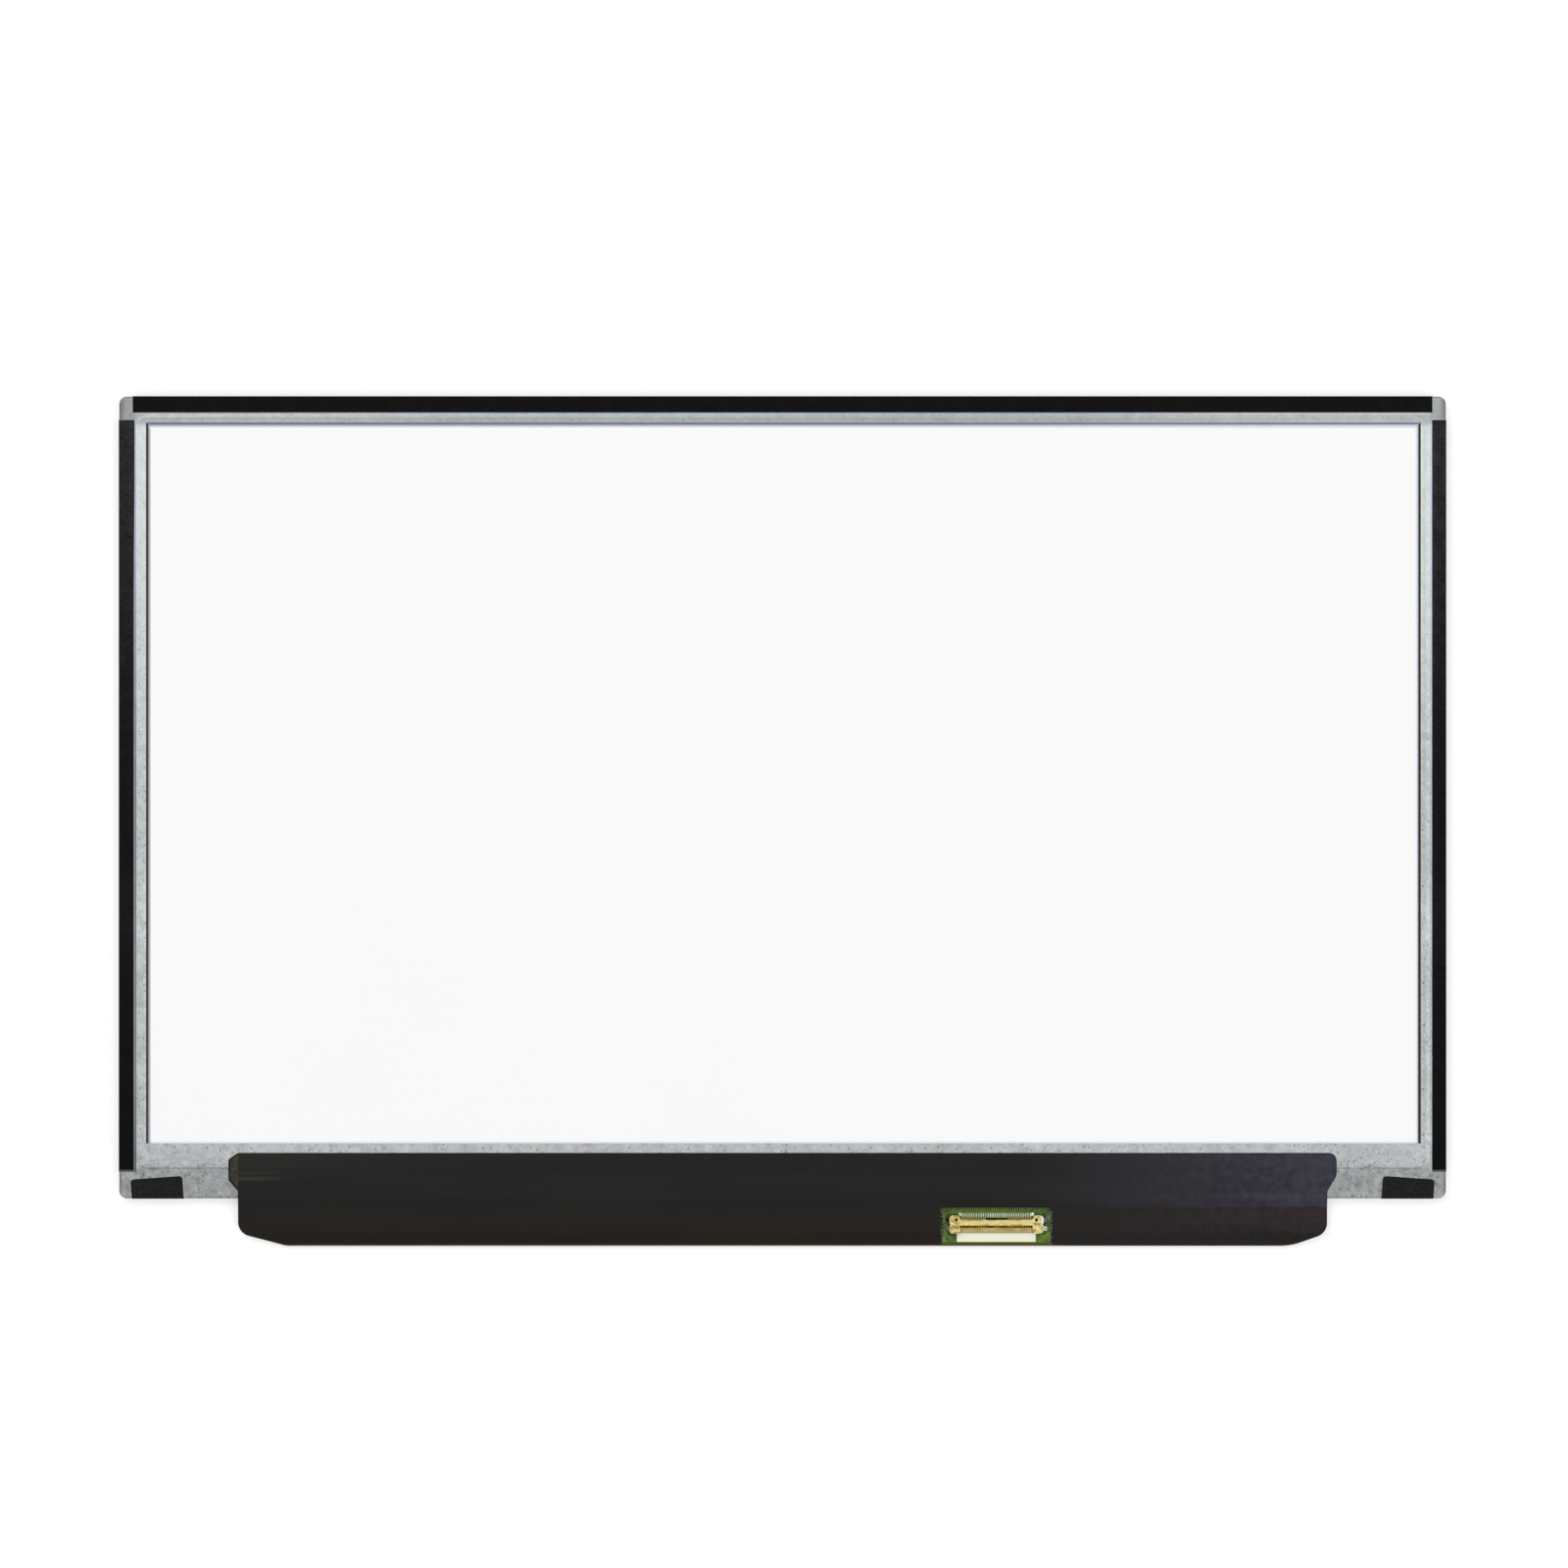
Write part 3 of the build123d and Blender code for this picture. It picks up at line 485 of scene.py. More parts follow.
def cover_film_skin():
    """Black insulating film with a painted purple-grey sheen to the right, brownish low down, with faint
    rubbed marks.
    """
    finish = Finish("cover_film_skin", Specular_IOR_Level=0.12)
    x, y = finish.axes("XY")
    # Painted sheen: the film turns purple-grey towards the right.
    right = finish.fade(x, 42.0, 124.0)
    left_end = finish.fade(x, -70.0, -116.0)
    upper = finish.blend(right, (0.0091, 0.0086, 0.0083), (0.0320, 0.0294, 0.0420))
    upper = finish.blend(left_end * finish.fade(y, -78.0, -71.0), upper, (0.0165, 0.0150, 0.0125))
    tinge = finish.fade(finish.cloud(2.4, 3.0, 0.6), 0.40, 0.60)
    right_lower = finish.blend(tinge, (0.0152, 0.0146, 0.0112), (0.0224, 0.0128, 0.0198))
    lower = finish.blend(right, (0.0088, 0.0077, 0.0059), right_lower)
    foot_tone = finish.blend(finish.fade(x, 40.0, 62.0), (0.0095, 0.0062, 0.0036), (0.0108, 0.0082, 0.0082))
    lower = finish.blend(finish.fade(y, -85.0, -89.6), lower, foot_tone)
    wander = finish.cloud(6.0, 3.0, 0.6) * 0.5 - 0.25
    tone = finish.blend(finish.fade(y + wander, -82.45, -82.05), lower, upper)
    lit_bend = finish.fade(abs(y + wander + 80.0), 0.8, 0.2) * right
    tone = finish.blend(lit_bend * 0.35, tone, finish.shade(tone, (1.5, 1.5, 1.45)))
    pale_fold = finish.fade(abs(y + wander * 0.4 + 76.2), 0.62, 0.10)
    pale_fold = pale_fold.most(finish.fade(abs(y + wander * 0.4 + 74.95), 0.50, 0.05) * 0.5)
    pale_fold = pale_fold * finish.fade(x, -104.0, -112.0)
    tone = finish.blend(pale_fold, tone, finish.shade(tone, (2.60, 2.72, 2.50)))
    rub = finish.cloud(9.0, 4.0, 0.6, (0.25, 1.6, 1.0))
    grain = finish.cloud(0.35, 4.0, 0.65)
    mottle = finish.cloud(1.6, 4.0, 0.65)
    # Rubbed marks and grain, with stronger mottle where the painted sheen lies on the right.
    tone = finish.shade(tone, rub * 0.8 + grain * 0.4 + mottle * (right * 1.8 + 0.2) + 0.30 - right * 0.90)
    ear_top, ear_side, ear_low = LEFT_CORNERS[:3]
    upper_slant = (x - ear_top[0]) * EAR_UPPER_SLANT[0] + (y - ear_top[1]) * EAR_UPPER_SLANT[1]
    lower_slant = (x - ear_low[0]) * EAR_LOWER_SLANT[0] + (y - ear_low[1]) * EAR_LOWER_SLANT[1]
    inside = (ear_side[0] - x).most(upper_slant).most(lower_slant)
    ear_tone = finish.blend(finish.fade(y, -72.5, -77.0), (0.036, 0.037, 0.025), (0.044, 0.033, 0.026))
    ear_tone = finish.shade(ear_tone, finish.cloud(1.2, 3.0, 0.6) * 2.4 - 0.20)
    ear_tone = finish.blend(finish.fade(inside, -0.46, -0.30), ear_tone, (0.0035, 0.0030, 0.0028))
    tone = finish.blend(finish.fade(x, 0.05 - BOARD_HALF, -0.15 - BOARD_HALF), tone, ear_tone)
    cut_side = abs(x - SOCKET_X)
    beside_cut = finish.fade(cut_side, CUT_HALF + 0.36, CUT_HALF + 0.16) * cut_side.above(CUT_HALF - 0.4)
    frayed = finish.fade(finish.cloud(0.55, 3.0, 0.6), 0.50, 0.60) * y.below(CUT_TOP - 0.3)
    tone = finish.blend(beside_cut * frayed * 0.8, tone, (0.24, 0.24, 0.19))
    finish.feed(Base_Color=tone, Roughness=rub * 0.25 + grain * 0.1 + 0.30)
    finish.emboss(grain * 0.5 + mottle * 0.5, 0.015, 0.6)
    return finish.material


def board_lacquer():
    """Green lacquered board: lighter copper runs under the lacquer, bare brown edges."""
    finish = Finish("board_lacquer", Specular_IOR_Level=0.18)
    x, y, z = finish.axes("XYZ")
    blot = finish.cloud(1.2, 4.0, 0.65)
    tone = finish.blend(finish.fade(blot, 0.36, 0.64), (0.042, 0.080, 0.017), (0.092, 0.172, 0.022))
    bright_side = finish.fade(x, SOCKET_X + 6.0, SOCKET_X + 9.5) * finish.fade(y, -86.5, -88.0)
    tone = finish.blend(bright_side, tone, finish.shade(tone, (1.38, 1.36, 0.92)))
    from_socket = abs(x - SOCKET_X)
    # Painted shadow and flux residue on the board around the shell's wings.
    shell_end_shadow_and_flux = finish.fade(from_socket, 7.6, 8.6) * finish.fade(from_socket, 10.9, 10.1)
    shell_end_shadow_and_flux = shell_end_shadow_and_flux * finish.fade(abs(y - SOCKET_MIDDLE), 2.5, 2.0)
    tone = finish.blend(shell_end_shadow_and_flux * 0.75, tone, finish.shade(tone, (0.30, 0.26, 0.20)))
    residue = finish.fade(from_socket, CUT_HALF - 0.9, CUT_HALF - 0.3) * y.below(CUT_TOP - 0.8)
    residue = residue * finish.fade(finish.cloud(0.5, 3.0, 0.6, (1.5, 0.6, 1.0)), 0.53, 0.64)
    tone = finish.blend(residue * 0.8, tone, (0.33, 0.36, 0.27))
    phase = ((x - SOCKET_X) / CONTACT_PITCH + 0.5).part() - 0.5
    run = finish.fade(abs(phase), 0.34, 0.26) * y.above(TAIL_BACK - 0.4)
    run = run * from_socket.below(CONTACT_ROW_HALF)
    wander = finish.cloud(7.0, 2.0, 0.5, (0.35, 1.0, 1.0)) * 4.0
    bus = finish.fade(abs(((y * 1.6) + wander).part() - 0.5), 0.34, 0.24) * z.below(BOARD_FRONT + 0.02)
    copper = run.most(bus)
    tone = finish.blend(copper * 0.55, tone, (0.100, 0.165, 0.040))
    wall = z.above(BOARD_FRONT + 0.02) * z.below(BOARD_BACK - 0.02)
    strip = finish.fade(y, LABEL_BOTTOM, LABEL_BOTTOM - 0.2)
    fibre = finish.cloud(0.25, 3.0, 0.6, (1.0, 1.0, 5.0))
    olive = finish.blend(fibre, (0.048, 0.046, 0.003), (0.088, 0.080, 0.010))
    substrate = finish.blend(fibre, (0.052, 0.036, 0.008), (0.112, 0.080, 0.028))
    brown = finish.blend(fibre, (0.075, 0.048, 0.009), (0.140, 0.094, 0.026))
    strip_tone = finish.blend(x.below(SOCKET_X - CUT_HALF), olive, brown)
    tone = finish.blend(strip, tone, strip_tone)
    tone = finish.blend(wall, tone, substrate)
    bare = wall.most(strip)
    finish.feed(Base_Color=tone, Roughness=bare * 0.35 + blot * 0.1 + 0.28)
    finish.emboss(copper * 0.7 + finish.cloud(0.5, 2.0) * 0.3, 0.03, 0.6)
    return finish.material


def tail_tin():
    """Solder round the contact tails, whiter in the middle of the row."""
    finish = Finish("tail_tin", Metallic=1.0)
    x = finish.axes("X")[0]
    stain = finish.cloud(0.8, 4.0, 0.6)
    tone = finish.blend(finish.fade(stain, 0.3, 0.7), (0.36, 0.42, 0.27), (0.70, 0.76, 0.56))
    tone = whiter_mid_row(finish, x, tone)
    grain = finish.cloud(0.12, 3.0, 0.6, (1.0, 4.0, 1.0))
    tone = finish.shade(tone, grain * (0.30 * PLATE_SHARE) + 0.85 * PLATE_SHARE)
    finish.feed(Base_Color=tone, Roughness=grain * 0.15 + 0.22)
    finish.emboss(stain, 0.04, 0.6)
    return finish.material


def anchor_tin():
    """Solder at the two anchors of the socket, whiter at the right one."""
    finish = Finish("anchor_tin", Metallic=1.0)
    x = finish.axes("X")[0]
    stain = finish.cloud(0.6, 3.0, 0.6)
    dull = finish.blend(stain, (0.40, 0.45, 0.33), (0.72, 0.76, 0.62))
    bright = finish.blend(stain, (0.86, 0.87, 0.80), (0.98, 0.98, 0.94))
    tone = finish.blend(x.above(SOCKET_X), dull, bright)
    tone = finish.shade(tone, PLATE_SHARE)
    finish.feed(Base_Color=tone, Roughness=stain * 0.2 + 0.38)
    finish.emboss(stain, 0.04, 0.6)
    return finish.material


def gilt_shell():
    """Gold-plated stamping, patchy brown and gold, with a painted highlight along its bar, a painted shadow
    at its back edge and painted dark reflections on the wings.
    """
    finish = Finish("gilt_shell", Metallic=1.0)
    x, y, z = finish.axes("XYZ")
    stain = finish.cloud(0.75, 4.0, 0.65, (0.6, 1.0, 1.0))
    tone = finish.blend(finish.fade(stain, 0.36, 0.62), (0.36, 0.255, 0.060), (0.94, 0.78, 0.33))
    bar_middle = (SHELL_BACK + SHELL_FRONT) / 2 - 0.15
    from_socket = abs(x - SOCKET_X)
    on_bar = from_socket.below(SHELL_BAR_HALF) * z.above(2.0)
    # Painted highlight along the middle of the bar.
    shine = finish.fade(abs(y - bar_middle), 0.62, 0.15) * on_bar
    tone = finish.blend(shine * 0.75, tone, (0.87, 0.75, 0.333))
    # Painted shadow along the bar's back edge.
    back_edge_shadow = finish.fade(y, SHELL_BACK - 0.50, SHELL_BACK - 0.20) * on_bar
    tone = finish.blend(back_edge_shadow * 0.85, tone, (0.14, 0.090, 0.014))
    wing = from_socket.above(SHELL_BAR_HALF)
    # Painted dark reflections in patches on the wings.
    wing_dark_reflections = wing * finish.fade(finish.cloud(0.55, 2.0), 0.55, 0.64)
    tone = finish.blend(wing_dark_reflections * 0.6, tone, (0.24, 0.165, 0.035))
    tone = finish.blend(wing * x.above(SOCKET_X), tone, finish.shade(tone, (1.03, 1.08, 1.13)))
    # Painted glint along the right wing's outer edge and at its lower right foot.
    curl = finish.cloud(1.0, 2.0) * 0.5 - 0.25
    painted_glint = finish.fade(x - SOCKET_X + curl, 9.42, 9.72) * finish.fade(y, SOCKET_MIDDLE - 0.6, SOCKET_MIDDLE)
    painted_glint = painted_glint.most(finish.fade(x - SOCKET_X, 9.95, 10.1) * y.below(SOCKET_MIDDLE))
    tone = finish.blend(painted_glint, tone, (0.97, 0.97, 0.90))
    # Painted shade makes the upper left foot black. The lower left and upper right feet are dull grey.
    shaded_upper_left_feet = x.below(SOCKET_X) * y.above(SOCKET_MIDDLE)
    left_feet = finish.fade(SOCKET_X - x, 9.8, 10.2)
    upper_right_foot = finish.fade(x - SOCKET_X, 10.0, 10.1) * y.above(SOCKET_MIDDLE)
    foot_tone = finish.blend(shaded_upper_left_feet, (0.10, 0.105, 0.08), (0.006, 0.006, 0.004))
    tone = finish.blend(left_feet.most(upper_right_foot) * 0.9, tone, foot_tone)
    grain = finish.cloud(0.12, 3.0, 0.6, (1.0, 4.0, 1.0))
    tone = finish.shade(tone, grain * (0.30 * PLATE_SHARE) + 0.85 * PLATE_SHARE)
    finish.feed(Base_Color=tone, Roughness=grain * 0.15 + 0.16)
    finish.emboss(stain, 0.06, 0.7)
    return finish.material


def foot_tin():
    """Solder at the shell's feet: bright at the lower right one, dull at the others, with painted shade on
    the upper left one.
    """
    finish = Finish("foot_tin", Metallic=1.0)
    x, y = finish.axes("XY")
    stain = finish.cloud(0.6, 3.0, 0.6)
    dull = finish.blend(stain, (0.045, 0.055, 0.035), (0.30, 0.33, 0.26))
    bright = finish.blend(stain, (0.32, 0.34, 0.28), (0.70, 0.72, 0.64))
    lower_right = x.above(SOCKET_X) * y.below(SOCKET_MIDDLE)
    # Painted shade darkens the solder at the upper left foot.
    shaded_upper_left = x.below(SOCKET_X) * y.above(SOCKET_MIDDLE)
    tone = finish.blend(shaded_upper_left, finish.blend(lower_right, dull, bright), (0.010, 0.011, 0.007))
    tone = finish.shade(tone, PLATE_SHARE)
    finish.feed(Base_Color=tone, Roughness=stain * 0.25 + 0.42)
    finish.emboss(stain, 0.05, 0.7)
    return finish.material


def contact_plate():
    """Contact strips: gold blades darkened with the painted shade of the slot, tinned tails."""
    finish = Finish("contact_plate", Metallic=1.0)
    x, y = finish.axes("XY")
    stain = finish.cloud(0.5, 3.0, 0.6)
    bright = finish.fade(finish.cloud(1.6, 2.0, 0.5), 0.42, 0.58)
    # Blades darkened by the painted shade of the socket's slot, with brighter patches.
    slot_shaded_blade = finish.blend(stain, (0.12, 0.076, 0.003), (0.28, 0.185, 0.006))
    blade = finish.blend(bright, slot_shaded_blade, (0.47, 0.32, 0.024))
    tail = finish.blend(stain, (0.34, 0.39, 0.215), (0.66, 0.72, 0.45))
    tail = whiter_mid_row(finish, x, tail)
    tone = finish.blend(finish.fade(y, TAIL_FRONT - 0.15, TAIL_FRONT), blade, tail)
    tone = finish.shade(tone, PLATE_SHARE)
    finish.feed(Base_Color=tone, Roughness=stain * 0.2 + 0.2)
    finish.emboss(stain, 0.03, 0.6)
    return finish.material


def socket_moulding():
    """Dark socket body with a tan sill at its mouth."""
    finish = Finish("socket_moulding", Specular_IOR_Level=0.04)
    y, z = finish.axes("YZ")
    grain = finish.cloud(0.3, 3.0, 0.6)
    blot = finish.cloud(1.3, 3.0, 0.6, (0.5, 1.0, 1.0))
    dark = finish.blend(grain, (0.006, 0.0045, 0.002), (0.014, 0.010, 0.004))
    tan = finish.blend(finish.fade(blot, 0.35, 0.65), (0.37, 0.28, 0.090), (0.54, 0.44, 0.20))
    tan = finish.blend(finish.fade(y, -87.3, -87.7), tan, (0.46, 0.35, 0.20))
    sill = finish.fade(y, SILL_BACK + 0.12, SILL_BACK - 0.1) * z.below(2.0)
    finish.feed(Base_Color=finish.blend(sill, dark, tan), Roughness=grain * 0.2 + 0.35)
    finish.emboss(grain, 0.02, 0.5)
    return finish.material


def moulded(name, light, dark, rough=0.45):
    """Moulded plastic or ceramic with a fine even grain."""
    finish = Finish(name, Specular_IOR_Level=0.35)
    blot = finish.cloud(1.5)
    grain = finish.cloud(0.18, 3.0, 0.6)
    tone = finish.shade(finish.blend(blot, dark, light), grain * 0.24 + 0.88)
    finish.feed(Base_Color=tone, Roughness=grain * 0.16 + rough)
    finish.emboss(grain, 0.015, 0.5)
    return finish.material


def tipped_block(name, body_dark, body_light, first):
    """Row of small board parts, each with a fired body and bright tinned ends."""
    finish = Finish(name)
    x = finish.axes("X")[0]
    grain = finish.cloud(0.2, 3.0)
    body = finish.blend(grain, body_dark, body_light)
    along = abs(((x - first) / PART_PITCH + 0.5).part() - 0.5) * PART_PITCH
    tip = along.above(PART_LENGTH * 0.28)
    finish.feed(
        Base_Color=finish.blend(tip, body, (0.55, 0.56, 0.56)),
        Metallic=tip * 0.9,
        Roughness=grain * 0.2 + 0.32,
    )
    return finish.material


def screen_polarizer():
    """Near-black screen film with a fine anti-glare grain."""
    finish = Finish("screen_polarizer", Specular_IOR_Level=0.4)
    grain = finish.cloud(0.09, 2.0, 0.5)
    tone = finish.blend(finish.cloud(40.0, 2.0), (0.008, 0.008, 0.010), (0.011, 0.011, 0.014))
    finish.feed(Base_Color=tone, Roughness=grain * 0.12 + 0.32)
    finish.emboss(grain, 0.012, 0.5)
    return finish.material


def display_glass():
    """Dark glass of the cell, green at its cut edges."""
    finish = Finish("display_glass", IOR=1.52)
    x, y = finish.axes("XY")
    edge = finish.fade(abs(x), GLASS_HALF - 0.3, GLASS_HALF).most(finish.fade(y, GLASS_TOP - 0.3, GLASS_TOP))
    chip = finish.cloud(0.5, 4.0, 0.6)
    tone = finish.blend(finish.cloud(20.0), (0.020, 0.024, 0.024), (0.028, 0.032, 0.032))
    tone = finish.blend(edge * chip, tone, (0.12, 0.22, 0.19))
    finish.feed(Base_Color=tone, Roughness=edge * chip * 0.4 + 0.06)
    return finish.material


def amber_flex():
    """Amber film with copper tracks showing through."""
    finish = Finish("amber_flex", Specular_IOR_Level=0.5)
    x = finish.axes("X")[0]
    track = finish.fade(abs((x * 2.4).part() - 0.5), 0.32, 0.22)
    tone = finish.blend(finish.cloud(3.0), (0.33, 0.16, 0.028), (0.42, 0.21, 0.040))
    tone = finish.blend(track * 0.7, tone, (0.52, 0.27, 0.10))
    finish.feed(Base_Color=tone, Roughness=finish.cloud(0.6) * 0.2 + 0.25)
    finish.emboss(track, 0.02, 0.5)
    return finish.material


def lamp_body():
    """White lamp case with a yellow phosphor face towards the light guide."""
    finish = Finish("lamp_body", Roughness=0.4)
    y = finish.axes("Y")[0]
    face = finish.fade(y, LAMP_FACE - 0.25, LAMP_FACE)
    grain = finish.cloud(0.2)
    tone = finish.blend(grain, (0.78, 0.78, 0.74), (0.86, 0.86, 0.83))
    finish.feed(Base_Color=finish.blend(face, tone, (0.80, 0.62, 0.10)))
    return finish.material


def light_film(name, tone):
    """Milky or clear light sheet."""
    finish = Finish(name, Specular_IOR_Level=0.5)
    haze = finish.cloud(14.0, 3.0)
    finish.feed(
        Base_Color=finish.shade(tone, haze * 0.12 + 0.92),
        Roughness=finish.cloud(0.4) * 0.2 + 0.2,
    )
    return finish.material


def paper_label():
    """Blank off-white label with a faint fibre."""
    finish = Finish("paper_label", Specular_IOR_Level=0.2)
    fibre = finish.cloud(0.3, 4.0, 0.65, (1.0, 2.5, 1.0))
    blot = finish.cloud(2.2, 3.0)
    tone = finish.blend(blot, (0.80, 0.800, 0.63), (0.87, 0.875, 0.71))
    finish.feed(Base_Color=finish.shade(tone, fibre * 0.12 + 0.94), Roughness=fibre * 0.1 + 0.5)
    finish.emboss(fibre, 0.015, 0.5)
    return finish.material


node_finishes = {
    "rear_frame": galvanised_steel(),
    "reflector_sheet": reflector_film(),
    "top_tape": edge_tape("top_edge_tape", (0.0028, 0.0028, 0.0030)),
    "left_tape": edge_tape("left_edge_tape", (0.0020, 0.0039, 0.0185), LEFT_TAPE_EDGE, TAPE_END_MARGIN),
    "right_tape": edge_tape("right_edge_tape", (0.0021, 0.0040, 0.0192), RIGHT_TAPE_EDGE, TAPE_END_MARGIN),
    "left_corner_tape": corner_tape(),
    "circuit_board": board_lacquer(),
    "connector_housing": socket_moulding(),
    "connector_contacts": contact_plate(),
    "connector_shell": gilt_shell(),
    "blank_label": paper_label(),
    "front_polarizer": screen_polarizer(),
    "colour_filter_glass": display_glass(),
    "mould_frame": moulded("white_moulding", (0.84, 0.84, 0.82), (0.78, 0.78, 0.76)),
    "upper_prism_sheet": light_film("prism_film", (0.72, 0.75, 0.78)),
    "diffuser_sheet": light_film("diffuser_film", (0.84, 0.85, 0.86)),
    "light_guide": light_film("light_guide_plate", (0.80, 0.84, 0.85)),
    "led_flex": amber_flex(),
    "leds": lamp_body(),
    "timing_chip": moulded("chip_epoxy", (0.030, 0.030, 0.031), (0.020, 0.020, 0.021)),
    "inductors": moulded("ferrite", (0.11, 0.105, 0.10), (0.07, 0.068, 0.065), 0.6),
    "capacitors": tipped_block("capacitor_body", (0.34, 0.24, 0.14), (0.44, 0.32, 0.20), FIRST_CAPACITOR),
    "resistors": tipped_block("resistor_body", (0.02, 0.02, 0.02), (0.035, 0.035, 0.035), FIRST_RESISTOR),
}
same_finish = {
    "right_corner_tape": "left_corner_tape",
    "cell_tape": "left_corner_tape",
    "driver_cover_tape": "left_corner_tape",
    "rear_polarizer": "front_polarizer",
    "array_glass": "colour_filter_glass",
    "lower_prism_sheet": "upper_prism_sheet",
    "driver_films": "led_flex",
    "driver_chips": "timing_chip",
    "power_chip": "timing_chip",
    "lamp_driver_chip": "timing_chip",
    "memory_chip": "timing_chip",
}
for name, other in same_finish.items():
    node_finishes[name] = node_finishes[other]
for name, material in node_finishes.items():
    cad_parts[name].data.materials.clear()
    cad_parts[name].data.materials.append(material)


# Draped film, clear tape margin and solder
def add_piece(name, mesh, material):
    """Put a finished mesh into the scene as a piece of the panel."""
    piece = bpy.data.objects.new(name, mesh)
    bpy.context.scene.collection.objects.link(piece)
    mesh.materials.clear()
    mesh.materials.append(material)
    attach(piece, "root")
    return piece


def arcs(corners):
    """Points down one side of the film, with an arc at each corner."""
    spine = [(0.0, corners[0][1]), *[c[:2] for c in corners], (0.0, corners[-1][1])]
    points = []
    for before, (x, y, radius), after in zip(spine, corners, spine[2:]):
        way_in = np.subtract(before, (x, y))
        way_out = np.subtract(after, (x, y))
        way_in /= np.linalg.norm(way_in)
        way_out /= np.linalg.norm(way_out)
        half_turn = math.acos(np.clip(way_in @ way_out, -1.0, 1.0)) / 2
        inward = (way_in + way_out) / np.linalg.norm(way_in + way_out)
        centre = np.array((x, y)) + inward * radius / math.sin(half_turn)
        middle = math.atan2(-inward[1], -inward[0])
        sweep = math.pi / 2 - half_turn
        if way_in[0] * way_out[1] - way_in[1] * way_out[0] < 0:
            sweep = -sweep
        for angle in np.linspace(middle - sweep, middle + sweep, FILM_ARC_POINTS):
            points.append(centre + radius * np.array((math.cos(angle), math.sin(angle))))
    return np.array(points)


def fold_height(y):
    """Height of the film's face along its fold line, with soft bends."""
    spots = np.linspace(-FILM_BEND, FILM_BEND, FILM_BEND_SPOTS)
    ys = [f[0] for f in COVER_FOLDS][::-1]
    zs = [f[1] for f in COVER_FOLDS][::-1]
    return float(np.mean(np.interp(y + spots, ys, zs)))


def sag(x, y):
    """How far the film hangs between the higher board parts, with small waves from handling."""
    over_board = np.interp(y, *SAG_UP)
    held = max(math.exp(-(((x - place) / reach) ** 4)) for place, reach in HIGH_PARTS)
    held = max(held, math.exp(-(((abs(x - SOCKET_X) - SOCKET_END) / SOCKET_END_REACH) ** 2)))
    slack = FILM_SAG * (1.0 - held) * over_board
    wave = noise.noise((x * 0.11, y * 0.35, 3.0)) * 0.05 + noise.noise((x * 0.45, y * 0.6, 7.0)) * 0.02
    return slack - wave * np.interp(y, *WAVE_UP)


def ragged(y, side):
    """How far the torn edge of the socket's opening wanders sideways."""
    return noise.noise((y * 1.7, side, 11.0)) * 0.26 + noise.noise((y * 4.7, side, 5.0)) * 0.16


def trimmed(x, y):
    """Y of a point of the film, whose bottom edge is cut lower to the right of the socket."""
    return y - LOW_EDGE_DROP * np.interp(x, *LOW_EDGE_ALONG) * np.interp(y, *LOW_EDGE_UP)


def draped_cover_film():
    """Net of quads cut to the film's outline, with the socket's opening left out."""
    sides = [arcs(LEFT_CORNERS), arcs(RIGHT_CORNERS)]
    sides = [side[np.argsort(side[:, 1], kind="stable")] for side in sides]
    marks = {COVER_TOP, COVER_BOTTOM, *[f[0] for f in COVER_FOLDS]}
    marks.update(np.round(np.concatenate([side[:, 1] for side in sides]), 4))
    marks.update(np.round(np.arange(COVER_BOTTOM, COVER_TOP, FILM_ROW_STEP), 4))
    rows = [COVER_BOTTOM]
    for y in sorted(marks):
        clear_of_ends = abs(y - CUT_TOP) > FILM_LEAST_STEP and y < COVER_TOP - FILM_LEAST_STEP
        if y - rows[-1] > FILM_LEAST_STEP and clear_of_ends:
            rows.append(y)
    rows = sorted([*rows, CUT_TOP, COVER_TOP])
    cut_left = SOCKET_X - CUT_HALF
    cut_right = SOCKET_X + CUT_HALF
    left_count, cut_count, right_count = 180, 26, 70
    net = bmesh.new()
    grid = []
    for y in rows:
        left, right = [float(np.interp(y, side[:, 1], side[:, 0])) for side in sides]
        xs = np.concatenate(
            [
                np.linspace(left, cut_left, left_count, endpoint=False),
                np.linspace(cut_left, cut_right, cut_count, endpoint=False),
                np.linspace(cut_right, right, right_count),
            ]
        )
        if y < CUT_TOP - 0.1:
            xs[left_count] += ragged(y, 2.0)
            xs[left_count + cut_count] += ragged(y, 9.0)
        heights = [min(fold_height(y) - sag(x, y), COVER_FOLDS[0][1]) for x in xs]
        grid.append([net.verts.new((x * MM, trimmed(x, y) * MM, h * MM)) for x, h in zip(xs, heights)])
    for low, high, y in zip(grid, grid[1:], rows):
        for n in range(len(low) - 1):
            in_opening = left_count <= n < left_count + cut_count and y < CUT_TOP - 0.001
            if not in_opening:
                net.faces.new((low[n], low[n + 1], high[n + 1], high[n]))
    loose = [v for v in net.verts if not v.link_faces]
    bmesh.ops.delete(net, geom=loose, context="VERTS")
    mesh = bpy.data.meshes.new("draped_cover_film")
    net.to_mesh(mesh)
    net.free()
    for face in mesh.polygons:
        face.use_smooth = True
    return mesh


film = add_piece("draped_cover_film", draped_cover_film(), cover_film_skin())
thickness = film.modifiers.new("film_thickness", "SOLIDIFY")
thickness.thickness = COVER_THICKNESS * MM
thickness.offset = -1.0
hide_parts("cover_film")


